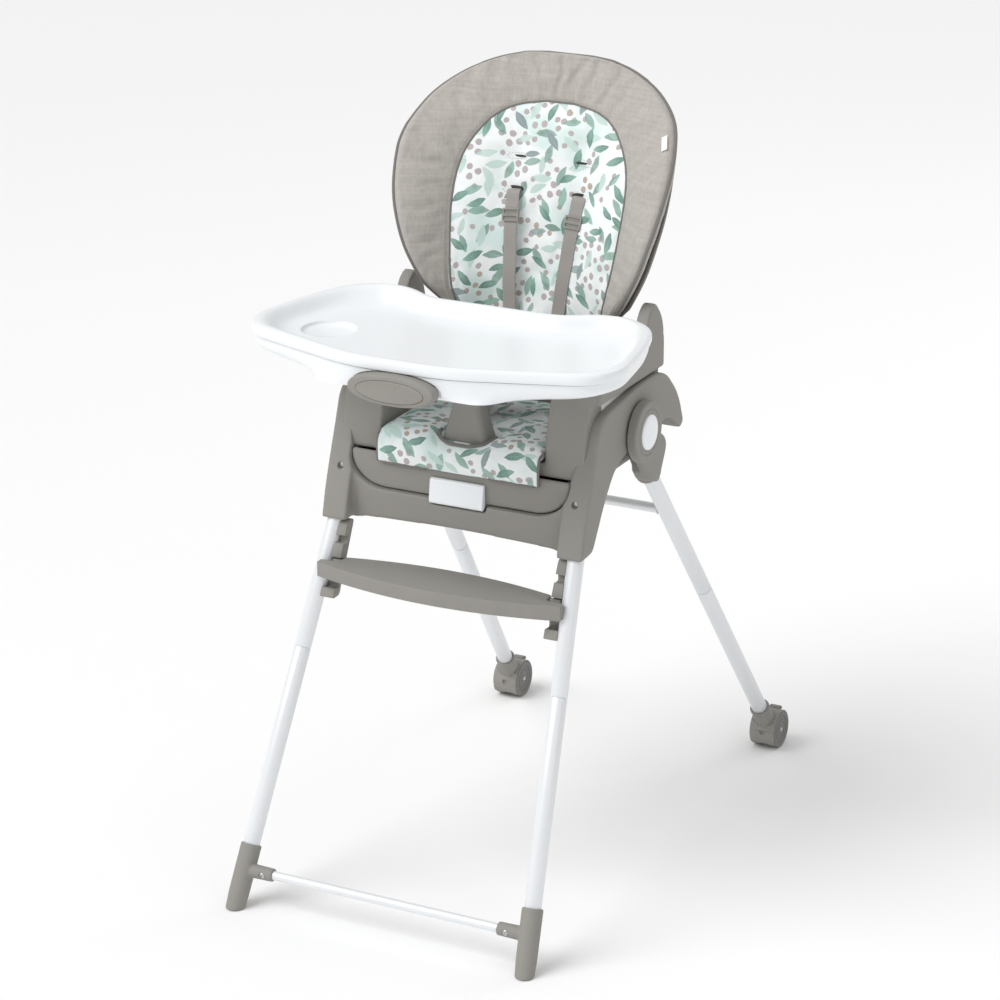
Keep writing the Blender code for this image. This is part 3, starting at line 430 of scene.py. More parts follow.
def plastic(name, colour, roughness, texture=0.0, wear=0.04, **shader):
    """Moulded plastic: a fine spark texture, a slight mottle and a roughness that wanders."""
    material, tree, surface, place = start_material(name, colour, roughness, **shader)
    mottle = grain(tree, place, 14.0, 4.0)
    dark, light = [c * (1 - wear) for c in colour], [min(c * (1 + wear), 1) for c in colour]
    tree.links.new(mixed(tree, mottle, dark, light), surface.inputs["Base Color"])
    handled = grain(tree, place, 45.0, 5.0, 0.65)
    tree.links.new(spread(tree, handled, 0.3, 0.7, roughness - 0.06, roughness + 0.08), surface.inputs["Roughness"])
    if texture:
        fine = grain(tree, place, 1500.0, 2.0)
        coarse = grain(tree, place, 420.0, 2.0)
        set_bump(tree, surface, maths(tree, "ADD", fine, maths(tree, "MULTIPLY", coarse, 0.6)), texture, 0.00025)
    return material


def wavelets(tree, vector, axis, scale, profile="SIN"):
    return node(tree, "ShaderNodeTexWave", {"Vector": vector, "Scale": scale}, bands_direction=axis,
                wave_profile=profile).outputs["Fac"]


def cell_shape(tree, vector, scale, turn):
    """Scattered motifs: local coordinates, random values and free radius of the nearest cell's centre."""
    turned_place = node(tree, "ShaderNodeMapping", {"Vector": vector, "Rotation": (0, 0, turn),
                                                    "Scale": (scale, scale, scale)}).outputs[0]
    settings = {"Vector": turned_place, "Scale": 1.0, "Randomness": 0.42}
    cells = node(tree, "ShaderNodeTexVoronoi", settings, voronoi_dimensions="2D")
    room = node(tree, "ShaderNodeTexVoronoi", settings, voronoi_dimensions="2D", feature="N_SPHERE_RADIUS")
    local = node(tree, "ShaderNodeVectorMath", {0: turned_place, 1: cells.outputs["Position"]},
                 operation="SUBTRACT").outputs[0]
    draws = node(tree, "ShaderNodeSeparateColor", {0: cells.outputs["Color"]}).outputs
    back = node(tree, "ShaderNodeMapping", {"Vector": cells.outputs["Position"],
                                            "Scale": (1 / scale,) * 3}).outputs[0]
    centre = node(tree, "ShaderNodeVectorRotate", {"Vector": back, "Axis": (0, 0, 1), "Angle": -turn}).outputs[0]
    return local, draws, room.outputs["Radius"], centre


def leaf_mask(tree, local, angle, length, width):
    """A leaf pointed at both ends, and how far along and across it a point lies."""
    straight = node(tree, "ShaderNodeVectorRotate", {"Vector": local, "Axis": (0, 0, 1), "Angle": angle}).outputs[0]
    split = node(tree, "ShaderNodeSeparateXYZ", {0: straight}).outputs
    forward = maths(tree, "DIVIDE", split[0], length)
    bow = maths(tree, "MULTIPLY", maths(tree, "MULTIPLY", forward, forward), 0.035)
    across = maths(tree, "ADD", split[1], bow)
    half = maths(tree, "MULTIPLY", width, maths(tree, "SUBTRACT", 1.0, maths(tree, "MULTIPLY", forward, forward)))
    inside = maths(tree, "SUBTRACT", half, maths(tree, "ABSOLUTE", across))
    return spread(tree, inside, -0.006, 0.012), forward, across


def motif_group():
    """The main print as a node group: leaves, pale leaves and bunches of berries, one to a cell."""
    group = bpy.data.node_groups.new("leaf_and_berry_print", "ShaderNodeTree")
    for name, kind in (("Vector", "NodeSocketVector"), ("Margin", "NodeSocketFloat")):
        group.interface.new_socket(name, in_out="INPUT", socket_type=kind)
    for name, kind in (("Leaf", "NodeSocketFloat"), ("Berry", "NodeSocketFloat"), ("Pale", "NodeSocketFloat"),
                       ("Along", "NodeSocketFloat"), ("Draw", "NodeSocketFloat"), ("Taken", "NodeSocketFloat"),
                       ("Across", "NodeSocketFloat")):
        group.interface.new_socket(name, in_out="OUTPUT", socket_type=kind)
    source, result = group.nodes.new("NodeGroupInput"), group.nodes.new("NodeGroupOutput")
    margin = source.outputs["Margin"]
    local, draws, room, _centre = cell_shape(group, source.outputs["Vector"], 33.0, 0.42)
    steps = maths(group, "FLOOR", maths(group, "MULTIPLY", draws[0], 6.0))
    angle = maths(group, "ADD", maths(group, "MULTIPLY", steps, 1.05), maths(group, "MULTIPLY", draws[2], 0.5))
    length = maths(group, "ADD", maths(group, "MINIMUM", maths(group, "MULTIPLY", room, 1.12), 0.50), margin)
    width = maths(group, "ADD", maths(group, "MULTIPLY", length, 0.36), margin)
    leaf, forward, across = leaf_mask(group, local, angle, length, width)
    berry_cell = maths(group, "GREATER_THAN", draws[1], 0.78)
    leaf = maths(group, "MULTIPLY", leaf, maths(group, "SUBTRACT", 1.0, berry_cell))
    split = node(group, "ShaderNodeSeparateXYZ", {0: local}).outputs
    bearing = maths(group, "ADD", maths(group, "ARCTAN2", split[1], split[0]), maths(group, "ADD", angle, 10.0))
    third = 2 * math.pi / 3
    folded = maths(group, "SUBTRACT", maths(group, "MODULO", bearing, third), third / 2)
    reach = node(group, "ShaderNodeVectorMath", {0: local}, operation="LENGTH").outputs["Value"]
    off_x = maths(group, "SUBTRACT", maths(group, "MULTIPLY", reach, maths(group, "COSINE", folded)), 0.25)
    off_y = maths(group, "MULTIPLY", reach, maths(group, "SINE", folded))
    far = maths(group, "SQRT", maths(group, "ADD", maths(group, "MULTIPLY", off_x, off_x),
                                     maths(group, "MULTIPLY", off_y, off_y)))
    berry = spread(group, far, maths(group, "ADD", margin, 0.155), maths(group, "ADD", margin, 0.135))
    berry = maths(group, "MULTIPLY", berry, berry_cell)
    pale = maths(group, "LESS_THAN", draws[1], 0.20)
    taken = maths(group, "MAXIMUM", leaf, berry)
    for name, value in (("Leaf", leaf), ("Berry", berry), ("Pale", pale), ("Along", forward), ("Draw", draws[2]),
                        ("Taken", taken), ("Across", across)):
        group.links.new(value, result.inputs[name])
    return group


def leaf_fabric(name):
    """Woven cotton, printed with leaves and berries over pale washes; the border cloth begins where the
    piece's "border" attribute passes zero."""
    colours = bpy.context.scene.high_chair_colours
    material, tree, surface, place = start_material(name, (0.9, 0.93, 0.93), 0.85, Sheen_Weight=0.25,
                                                    Sheen_Roughness=0.5)
    printed = node(tree, "ShaderNodeUVMap", uv_map="Print").outputs[0]
    wobble = node(tree, "ShaderNodeTexNoise", {"Vector": printed, "Scale": 90.0, "Detail": 2.0}).outputs["Color"]
    drift = node(tree, "ShaderNodeVectorMath", {0: wobble, 1: (0.5, 0.5, 0.5)}, operation="SUBTRACT").outputs[0]
    scaled = node(tree, "ShaderNodeVectorMath", {0: drift, "Scale": 0.0035}, operation="SCALE").outputs[0]
    at = node(tree, "ShaderNodeVectorMath", {0: printed, 1: scaled}, operation="ADD").outputs[0]
    group = bpy.data.node_groups.get("leaf_and_berry_print") or motif_group()
    main = node(tree, "ShaderNodeGroup", {}, node_tree=group)
    tree.links.new(at, main.inputs["Vector"])

    under = node(tree, "ShaderNodeMapping", {"Vector": at, "Location": (0.0131, 0.0187, 0.0),
                                             "Rotation": (0.0, 0.0, 2.3)}).outputs[0]
    second = node(tree, "ShaderNodeGroup", {}, node_tree=group)
    tree.links.new(under, second.inputs["Vector"])

    local, draws, _room, centre = cell_shape(tree, at, 82.0, 1.1)
    near = node(tree, "ShaderNodeGroup", {}, node_tree=group)
    tree.links.new(centre, near.inputs["Vector"])
    near.inputs["Margin"].default_value = 0.17
    small = node(tree, "ShaderNodeVectorMath", {0: local}, operation="LENGTH").outputs["Value"]
    dot = spread(tree, small, 0.33, 0.28)
    dot = maths(tree, "MULTIPLY", dot, maths(tree, "LESS_THAN", near.outputs["Taken"], 0.01))
    dot = maths(tree, "MULTIPLY", dot, maths(tree, "GREATER_THAN", draws[0], 0.42))

    wash = grain(tree, printed, 16.0, 2.0)
    ground = mixed(tree, spread(tree, wash, 0.46, 0.66, smooth=True), colours.cloth_ground, colours.cloth_wash)
    watery = grain(tree, at, 120.0, 3.0, 0.6)
    blend = maths(tree, "ADD", maths(tree, "MULTIPLY", main.outputs["Along"], 0.35),
                  maths(tree, "MULTIPLY", watery, 0.9))
    deep = mixed(tree, spread(tree, blend, 0.2, 0.85), colours.leaf_deep, colours.leaf_soft)
    deep = mixed(tree, maths(tree, "GREATER_THAN", main.outputs["Draw"], 0.78), deep, colours.leaf_dusk)
    leaf = mixed(tree, main.outputs["Pale"], deep, colours.leaf_pale)
    rib = spread(tree, maths(tree, "ABSOLUTE", main.outputs["Across"]), 0.004, 0.016)
    leaf = mixed(tree, maths(tree, "MULTIPLY", maths(tree, "SUBTRACT", 1.0, rib), 0.25), leaf, colours.leaf_pale)
    hatch = wavelets(tree, at, "DIAGONAL", 260.0)
    berry = mixed(tree, hatch, colours.berry, colours.berry_light)
    ochre = maths(tree, "GREATER_THAN", grain(tree, printed, 9.0, 1.0), 0.60)
    berry = mixed(tree, maths(tree, "MULTIPLY", ochre, 0.5), berry, colours.ochre)
    colour = mixed(tree, dot, ground, berry)
    lower = mixed(tree, second.outputs["Pale"], mixed(tree, second.outputs["Draw"], colours.leaf_soft, deep),
                  colours.leaf_pale)
    colour = mixed(tree, main.outputs["Berry"], colour, berry)
    colour = mixed(tree, maths(tree, "MULTIPLY", second.outputs["Leaf"], 0.85), colour, lower)
    colour = mixed(tree, maths(tree, "MULTIPLY", main.outputs["Leaf"], 0.95), colour, leaf)

    slub = grain(tree, place, 300.0, 3.0, 0.6, stretch=(1.0, 1.0, 0.06))
    cross = grain(tree, place, 300.0, 3.0, 0.6, stretch=(0.06, 0.06, 1.0))
    heather = maths(tree, "MULTIPLY", maths(tree, "ADD", slub, cross), 0.5)
    border = mixed(tree, spread(tree, heather, 0.38, 0.62), colours.border_dark, colours.border_cloth)
    edge = node(tree, "ShaderNodeAttribute", attribute_name="border").outputs["Fac"]
    side = spread(tree, edge, -0.00025, 0.00025)
    tree.links.new(mixed(tree, side, colour, border), surface.inputs["Base Color"])
    warp, weft = wavelets(tree, printed, "X", 240.0), wavelets(tree, printed, "Y", 240.0)
    weave = maths(tree, "ADD", maths(tree, "MULTIPLY", warp, weft), maths(tree, "MULTIPLY", heather, 1.2))
    creases = maths(tree, "MULTIPLY", grain(tree, place, 28.0, 3.0, 0.6), 7.0)
    set_bump(tree, surface, maths(tree, "ADD", weave, creases), 0.35, 0.0005)
    return material


def webbing_fabric(name, colour):
    """Flat woven webbing: ribs across, from the strap's own UV map in metres."""
    material, tree, surface, _place = start_material(name, colour, 0.8, Sheen_Weight=0.2, Sheen_Roughness=0.5)
    uv = node(tree, "ShaderNodeUVMap", uv_map="Print").outputs[0]
    ribs, herring = wavelets(tree, uv, "Y", 260.0), wavelets(tree, uv, "DIAGONAL", 330.0)
    weave = maths(tree, "MULTIPLY", maths(tree, "ADD", ribs, herring), 0.5)
    dark = [c * 0.82 for c in colour]
    tone = maths(tree, "MULTIPLY", maths(tree, "ADD", weave, grain(tree, uv, 160.0, 3.0)), 0.5)
    tree.links.new(mixed(tree, tone, dark, [min(c * 1.12, 1) for c in colour]), surface.inputs["Base Color"])
    set_bump(tree, surface, weave, 0.5, 0.0004)
    return material


def rubber_like(name, colour):
    material, tree, surface, place = start_material(name, colour, 0.55)
    scuff = spread(tree, grain(tree, place, 60.0, 5.0, 0.7), 0.45, 0.75)
    tree.links.new(mixed(tree, scuff, colour, [c * 1.35 for c in colour]), surface.inputs["Base Color"])
    set_bump(tree, surface, grain(tree, place, 900.0, 2.0), 0.25, 0.0003)
    return material


def plated_steel(name):
    material, tree, surface, place = start_material(name, (0.58, 0.58, 0.60), 0.3, Metallic=1.0)
    brushed = grain(tree, place, 500.0, 3.0, 0.6, stretch=(1.0, 0.1, 1.0))
    tree.links.new(spread(tree, brushed, 0.3, 0.7, 0.22, 0.42), surface.inputs["Roughness"])
    return material


MATERIALS = {
    "grey_plastic": lambda name, c: plastic(name, c.grey_plastic, 0.48, 0.16),
    "grey_gloss": lambda name, c: plastic(name, c.grey_plastic, 0.30, 0.0),
    # painted shade: near-black plastic laid into the strap slits in place of the shade inside the openings
    "dark_recess": lambda name, c: plastic(name, (0.035, 0.033, 0.031), 0.7, 0.1),
    "caster_plastic": lambda name, c: rubber_like(name, c.caster_plastic),
    "white_plastic": lambda name, c: plastic(name, c.white_plastic, 0.34, 0.05, 0.012, Coat_Weight=0.15,
                                             Coat_Roughness=0.25),
    "white_enamel": lambda name, c: plastic(name, c.white_enamel, 0.30, 0.08, 0.012, Coat_Weight=0.35,
                                            Coat_Roughness=0.15),
    "leaf_fabric": lambda name, c: leaf_fabric(name),
    "piping": lambda name, c: webbing_fabric(name, c.piping),
    "webbing": lambda name, c: webbing_fabric(name, c.webbing),
    "thread": lambda name, c: webbing_fabric(name, c.thread),
    "steel": lambda name, c: plated_steel(name),
    "blank_label": lambda name, c: plastic(name, (0.86, 0.87, 0.86), 0.55, 0.0, 0.01),
    "floor": lambda name, c: plastic(name, c.floor, 0.9, 0.0, 0.003),
}


def finish(name):
    return bpy.data.materials.get(name) or MATERIALS[name](name, bpy.context.scene.high_chair_colours)


# --------------------------------------------------------------------------------------- properties

def colour_property(label, default):
    return FloatVectorProperty(name=label, description=f"Colour of the {label.lower()}", subtype="COLOR", size=3,
                               min=0.0, max=1.0, default=default)


class HighChairColours(bpy.types.PropertyGroup):
    """Colours of the finishes."""
    grey_plastic: colour_property("Grey mouldings", (0.285, 0.268, 0.245))
    white_plastic: colour_property("Tray and buttons", (0.84, 0.87, 0.89))
    white_enamel: colour_property("Tubes", (0.80, 0.83, 0.85))
    caster_plastic: colour_property("Caster wheels", (0.17, 0.162, 0.152))
    webbing: colour_property("Harness webbing", (0.33, 0.31, 0.285))
    piping: colour_property("Piping", (0.20, 0.19, 0.175))
    thread: colour_property("Thread", (0.62, 0.60, 0.57))
    border_cloth: colour_property("Border cloth", (0.485, 0.455, 0.42))
    border_dark: colour_property("Border cloth's dark yarn", (0.405, 0.378, 0.348))
    cloth_ground: colour_property("Print ground", (0.90, 0.93, 0.93))
    cloth_wash: colour_property("Print wash", (0.70, 0.83, 0.80))
    leaf_deep: colour_property("Deep leaves", (0.125, 0.250, 0.205))
    leaf_soft: colour_property("Soft leaves", (0.27, 0.46, 0.38))
    leaf_dusk: colour_property("Dusky leaves", (0.27, 0.33, 0.34))
    leaf_pale: colour_property("Pale leaves", (0.55, 0.71, 0.65))
    berry: colour_property("Berries", (0.36, 0.31, 0.31))
    berry_light: colour_property("Berry hatching", (0.62, 0.56, 0.56))
    ochre: colour_property("Ochre berries", (0.48, 0.38, 0.24))
    floor: colour_property("Floor", (0.95, 0.95, 0.95))


class HighChairSizes(bpy.types.PropertyGroup):
    """Sizes of the details."""
    cover_voxel: FloatProperty(name="Cover melt", description="Voxel of the moulded covers", default=0.0021,
                               min=0.001, max=0.01, unit="LENGTH")
    small_voxel: FloatProperty(name="Small melt", description="Voxel of the small mouldings", default=0.0011,
                               min=0.0005, max=0.01, unit="LENGTH")
    pad_lift: FloatProperty(name="Pad lift", description="The furthest the padding may swell", default=0.010,
                            min=0.0, max=0.03, unit="LENGTH")
    stitch_length: FloatProperty(name="Stitch length", description="Length of one stitch", default=0.0032,
                                 min=0.001, max=0.01, unit="LENGTH")
    stitch_gap: FloatProperty(name="Stitch gap", description="Gap between stitches", default=0.0016,
                              min=0.0005, max=0.01, unit="LENGTH")
    piping_radius: FloatProperty(name="Piping radius", description="Half the piping's width", default=0.0024,
                                 min=0.001, max=0.01, unit="LENGTH")
    swell_frames: IntProperty(name="Swell frames", description="Frames of the padding simulation", default=16,
                              min=4, max=60)


# ------------------------------------------------------------------------------------------- stage

class HIGH_CHAIR_OT_stage(bpy.types.Operator):
    """Makes the floor, the lights and the camera"""
    bl_idname = "high_chair.stage"
    bl_label = "Stage"

    def execute(self, context):
        floor = mesh_object("stage_floor", [(-30, -30, 0), (30, -30, 0), (30, 30, 0), (-30, 30, 0)], [(0, 1, 2, 3)])
        floor.data.materials.append(finish("floor"))
        world = context.scene.world or bpy.data.worlds.new("studio")
        context.scene.world = world
        world.use_nodes = True
        background = world.node_tree.nodes["Background"]
        background.inputs[0].default_value = (1.0, 1.0, 1.0, 1.0)
        background.inputs[1].default_value = 0.55
        context.scene.view_settings.view_transform = "Standard"
        for name, place, size, power in (("key", (-2.2, -3.4, 3.6), 2.2, 22), ("fill", (3.6, -2.4, 1.8), 3.0, 10),
                                         ("top", (0.2, 0.4, 4.2), 3.0, 10), ("rim", (1.6, 3.4, 2.6), 2.0, 12)):
            light = bpy.data.lights.new(name, "AREA")
            light.energy, light.size, light.shape = power, size, "DISK"
            lamp = linked(name, light)
            lamp.location = place
            lamp.rotation_euler = (Vector((0, 0, 0.5)) - lamp.location).to_track_quat("-Z", "Y").to_euler()
        sun = bpy.data.lights.new("daylight", "SUN")
        sun.energy, sun.angle = 1.55, math.radians(40)
        linked("daylight", sun).rotation_euler = (math.radians(38), math.radians(-14), math.radians(-24))
        azimuth, elevation = math.radians(26.93), math.radians(19.87)
        back = Vector((math.sin(azimuth) * math.cos(elevation), -math.cos(azimuth) * math.cos(elevation),
                       math.sin(elevation)))
        camera = linked("camera", bpy.data.cameras.new("camera"))
        camera.data.lens, camera.data.sensor_width = 119.94, 36.0
        camera.data.clip_end = 100.0
        camera.location = (1.8730, -3.7440 - MIDDLE_Y, 1.9840)
        camera.rotation_mode = "QUATERNION"
        camera.rotation_quaternion = (-back).to_track_quat("-Z", "Y")
        context.scene.camera = camera
        return {"FINISHED"}


# ------------------------------------------------------------------------------------ hard pieces

class HIGH_CHAIR_OT_tubes(bpy.types.Operator):
    """Draws the leg tubes and the cross bars"""
    bl_idname = "high_chair.tubes"
    bl_label = "Tubes"

    def leg(self, name, point, low, high, body, closed_top):
        """One length of tube: plugged top or open, with rolled edges."""
        bottom, top = point(low), point(high)
        length = (top - bottom).length
        crown = [(0, length + 0.004), (0.0092, length + 0.004), (0.0094, length)] if not closed_top else [(0, length)]
        profile = crown + [(TUBE_R - 0.0012, length), (TUBE_R - 0.0003, length - 0.0004), (TUBE_R, length - 0.0014),
                           (TUBE_R, 0.0010), (TUBE_R - 0.0006, 0), (0, 0)]
        tube = turned(name + "_R", profile, along(bottom, top), 72)
        both_sides(tube, body, "white_enamel", [name])

    def execute(self, context):
        self.leg("front_leg_lower", front_leg, 0.0620, FRONT_SEAM_Z, "frame", False)
        self.leg("front_leg_upper", front_leg, FRONT_SEAM_Z + 0.0007, 0.5480, "frame", True)
        self.leg("rear_leg_lower", rear_leg, 0.0600, REAR_SEAM_Z, "rear_legs", False)
        self.leg("rear_leg_upper", rear_leg, REAR_SEAM_Z + 0.0007, 0.5620, "rear_legs", True)
        low = front_leg(0.0476)
        bar = rod("front_crossbar_tube", (-0.1975, low.y, low.z), (0.1975, low.y, low.z), 0.0060)
        placed(bar, "frame", "white_enamel", ["front_crossbar"])
        high = rear_leg(0.4610)
        half = high.x - TUBE_R + 0.0006
        bar = rod("rear_crossbar_tube", (-half, high.y, high.z), (half, high.y, high.z), 0.0065)
        weld = rod("weld", (half - 0.0018, high.y, high.z), (half, high.y, high.z), 0.0080)
        other = mirror_copy(weld, "other_weld")
        placed(joined(bar, weld, other), "rear_legs", "white_enamel", ["rear_crossbar"])
        return {"FINISHED"}


def screw(name, seat, body, nodes):
    """A domed cross-head screw that faces -Y."""
    radius = 0.0038
    profile = [(0, 0.0017), (radius * 0.5, 0.0015), (radius * 0.85, 0.0010), (radius, 0.0004), (radius, 0), (0, 0)]
    head = turned(name, profile, along(seat, Vector(seat) + Vector((0, -1, 0))), 32)
    x, y, z = seat
    for wide, tall in ((0.0017, 0.0004), (0.0004, 0.0017)):
        head = cut(head, block("slot", (x - wide, y - 0.003, z - tall), (x + wide, y - 0.0008, z + tall)))
    both_sides(head, body, "steel", nodes)


class HIGH_CHAIR_OT_feet(bpy.types.Operator):
    """Moulds the front feet with their cross bar sockets"""
    bl_idname = "high_chair.feet"
    bl_label = "Front feet"

    def execute(self, context):
        axis, length = front_leg(0.0476), 0.0866
        profile = [(0, length), (0.0128, length), (0.0138, length - 0.001), (0.0136, 0.020), (0.0124, -0.002),
                   (0.0100, -0.012), (0, -0.016)]
        foot = turned("front_foot_cover_R", profile, along(FOOT, front_leg(0.5)), 64)
        end = Vector((0.1640, axis.y, axis.z))
        foot = joined(foot, rod("branch", axis, end, 0.0096, 0.0088))
        foot = moulded(cut(foot, block("ground", (0.1, -0.5, -0.1), (0.3, -0.3, 0.0006))),
                       context.scene.high_chair_sizes.small_voxel, 8)
        seat = Vector((0.1776, end.y - 0.0080, end.z))
        foot = cut(foot, rod("screw_seat", seat, seat - Vector((0, 0.02, 0)), 0.0048),
                   rod("bar_socket", end - Vector((0.005, 0, 0)), end + Vector((0.004, 0, 0)), 0.0064))
        both_sides(foot, "frame", "grey_plastic", ["front_foot"])
        screw("foot_screw_head_R", seat, "frame", ["foot_screw"])
        return {"FINISHED"}


def housing_outline():
    """The side housing from the side: the leg casing, the top edge, the hook and the arch."""
    return rounded([
        (-0.2030, 0.4815, 0.004), (-0.1660, 0.4835, 0.008), (-0.1300, 0.5420, 0.02),
        (-0.1000, 0.5770, 0.02), (-0.0540, 0.5895, 0.02), (0.0355, 0.5960, 0.012),
        (0.0700, 0.5975, 0.014), (0.1010, 0.5700, 0.008), (0.1130, 0.5780, 0.008),
        (0.0950, 0.6230, 0.03), (0.0560, 0.6600, 0.02), (0.0300, HOUSING_TOP_Z, 0.02),
        (-0.0250, HOUSING_TOP_Z, 0.03), (-0.1284, 0.6570, 0.02), (-0.1500, 0.6420, 0.016),
        (-0.1660, 0.5962, 0.02), (-0.1780, 0.5643, 0.02), (-0.1930, 0.5214, 0.03)], 0.01)


def pan_outline(offset, steps=20):
    """The front view of the seat's lower moulding, grown by offset; its lower corners are elliptic."""
    half, bottom = PAN_HALF + offset, PAN_BOTTOM_Z - offset
    points = [(-half, SEAM_Z)]
    for step in range(steps + 1):
        angle = math.pi / 2 * step / steps
        points.append((-half + 0.050 * (1 - math.cos(angle)), bottom + 0.042 * (1 - math.sin(angle))))
    points += [(-x, z) for x, z in reversed(points[1:])] + [(half, SEAM_Z)]
    return points


def flare_block(name, side):
    """Everything inboard of the housing's leaning inner face."""
    near, high = 0.05, 0.80
    far = HOUSING_IN_X + FLARE * (high - FLARE_Z)
    outline = [(near, FLARE_Z), (HOUSING_IN_X, FLARE_Z), (far, high), (near, high)]
    outline = [(side * x, z) for x, z in outline]
    if side < 0:
        outline.reverse()
    return slab(name, outline, -0.25, 0.30, XZ)


class HIGH_CHAIR_OT_cover(bpy.types.Operator):
    """Moulds the side housings and the apron as one soft-edged cover"""
    bl_idname = "high_chair.cover"
    bl_label = "Frame cover"

    def execute(self, context):
        half = HOUSING_IN_X + 0.004
        outline = rounded([(-half, 0.4822, 0.002), (-half + 0.022, 0.4845, 0.02), (0, 0.4890, 0.20),
                           (half - 0.022, 0.4845, 0.02), (half, 0.4822, 0.002), (half, 0.5700, 0.002),
                           (-half, 0.5700, 0.002)], 0.004)
        cover = slab("frame_cover", outline, 0.1655, 0.1800, XZ)
        for side, label in ((1, "R"), (-1, "L")):
            low, high = sorted((side * HOUSING_IN_X, side * HOUSING_OUT_X))
            casing = slab(f"casing_{label}", housing_outline(), low, high, YZ, 0.0050, 4)
            cover = joined(cover, cut(casing, flare_block("flare", side)))
            for z, reach in ((0.512, 0.012), (0.540, 0.010)):
                gusset = rod("gusset", (side * 0.148, -0.1690, z - 0.03), (side * 0.152, -0.1690, z + 0.016), reach,
                             0.004)
                cover = joined(cover, gusset)
        cover = cut(cover, slab("cradle", pan_outline(0.0008), 0.0, 0.30, XZ),
                    block("cradle_top", (-0.1490, -0.3, SEAM_Z - 0.006), (0.1490, 0.1, 0.65)),
                    block("tab_notch", (-0.0415, -0.2, 0.5180), (0.0415, -0.1, 0.56)))
        cover = moulded(cover, context.scene.high_chair_sizes.cover_voxel, 7)
        for side in (1, -1):
            seat = Vector((side * 0.1693, -0.1790, 0.5502))
            mouth = [Vector((side * front_leg(z).x, front_leg(z).y, z)) for z in (0.470, 0.492)]
            cover = cut(cover, rod("screw_seat", seat, seat - Vector((0, 0.05, 0)), 0.0047),
                        rod("leg_mouth", *mouth, TUBE_R + 0.0008))
        ledge = cut(slab("cradle_ledge", pan_outline(0.0042), 0.1150, 0.1680, XZ),
                    slab("ledge_room", pan_outline(0.0007), 0.10, 0.20, XZ),
                    block("ledge_top", (-0.2, -0.3, SEAM_Z - 0.020), (0.2, 0.1, 0.65)),
                    *[block("ledge_side", (side * 0.1885 - 0.0350, -0.3, 0.4), (side * 0.1885 + 0.0350, 0.1, 0.65))
                      for side in (1, -1)])
        placed(joined(ledge, block("tab_backing", (-0.052, -0.1652, 0.5130), (0.052, -0.1600, 0.5254))), "frame",
               "grey_plastic")
        placed(cover, "frame", "grey_plastic", ["side_housing_R", "side_housing_L", "front_apron"])
        screw("housing_screw_head_R", (0.1693, -0.1790, 0.5502), "frame", ["housing_screw"])
        return {"FINISHED"}


class HIGH_CHAIR_OT_hubs(bpy.types.Operator):
    """Moulds the hub sockets with their fold buttons"""
    bl_idname = "high_chair.hubs"
    bl_label = "Hubs"

    def execute(self, context):
        voxel = context.scene.high_chair_sizes.small_voxel
        centre, outward = Vector(HUB), Vector((1, 0, 0))
        face = along(centre, centre + outward)
        disc = [(0, 0.2040), (0.0390, 0.2040), (0.0404, 0.2032), (0.0410, 0.2018), (0.0410, 0.1905), (0, 0.1905)]
        flange = rounded([(-0.0640, 0.5900, 0.012), (-0.0190, 0.5350, 0.006), (0.0020, 0.5290, 0.006),
                          (0.0300, 0.5800, 0.02), (-0.0300, 0.6200, 0.01)], 0.01)
        sweep = [(HUB.y, HUB.z)]
        for degrees in (-33, 20, 80, 140, 200, 273):
            angle = math.radians(degrees)
            sweep.append((HUB.y + 0.15 * math.cos(angle), HUB.z + 0.15 * math.sin(angle)))
        hub = joined(turned("hub_moulding_R", disc, face, 96),
                     slab("flange", flange, 0.1780, 0.2034, YZ, 0.0030, 4),
                     rod("socket", rear_leg(0.5640), rear_leg(0.5290), 0.0146, 0.0165),
                     rod("socket_lip", rear_leg(0.5315), rear_leg(0.5262), 0.0172, 0.0172))
        hub = moulded(cut(hub, slab("sweep", sweep, 0.10, 0.1903, YZ)), voxel, 5)
        hub = cut(hub, rod("button_well", centre + outward * 0.1945, centre + outward * 0.25, 0.0239, sides=96),
                  rod("tube_mouth", rear_leg(0.5330), rear_leg(0.50), TUBE_R + 0.0006))
        groove = turned("groove", [(0.0300, 0.206), (0.0306, 0.206), (0.0306, 0.2034), (0.0300, 0.2034)], face, 96)
        both_sides(cut(hub, groove), "rear_legs", "grey_plastic", ["hub_socket"])
        button = [(0, 0.2072), (0.0120, 0.2070), (0.0190, 0.2066), (0.0222, 0.2060), (0.0233, 0.2050),
                  (0.0235, 0.2038), (0.0235, 0.2014), (0, 0.2014)]
        both_sides(turned("fold_button_cap_R", button, face, 96), "fold_button_right",
                   "white_plastic", ["fold_button"])
        pin = [(0, 0.1966), (0.0095, 0.1962), (0.0100, 0.1945), (0.005, 0.1945), (0.005, 0.1650), (0, 0.1650)]
        both_sides(turned("hub_pin_turned_R", pin, face, 48), "frame", "steel", ["hub_pin"])
        return {"FINISHED"}


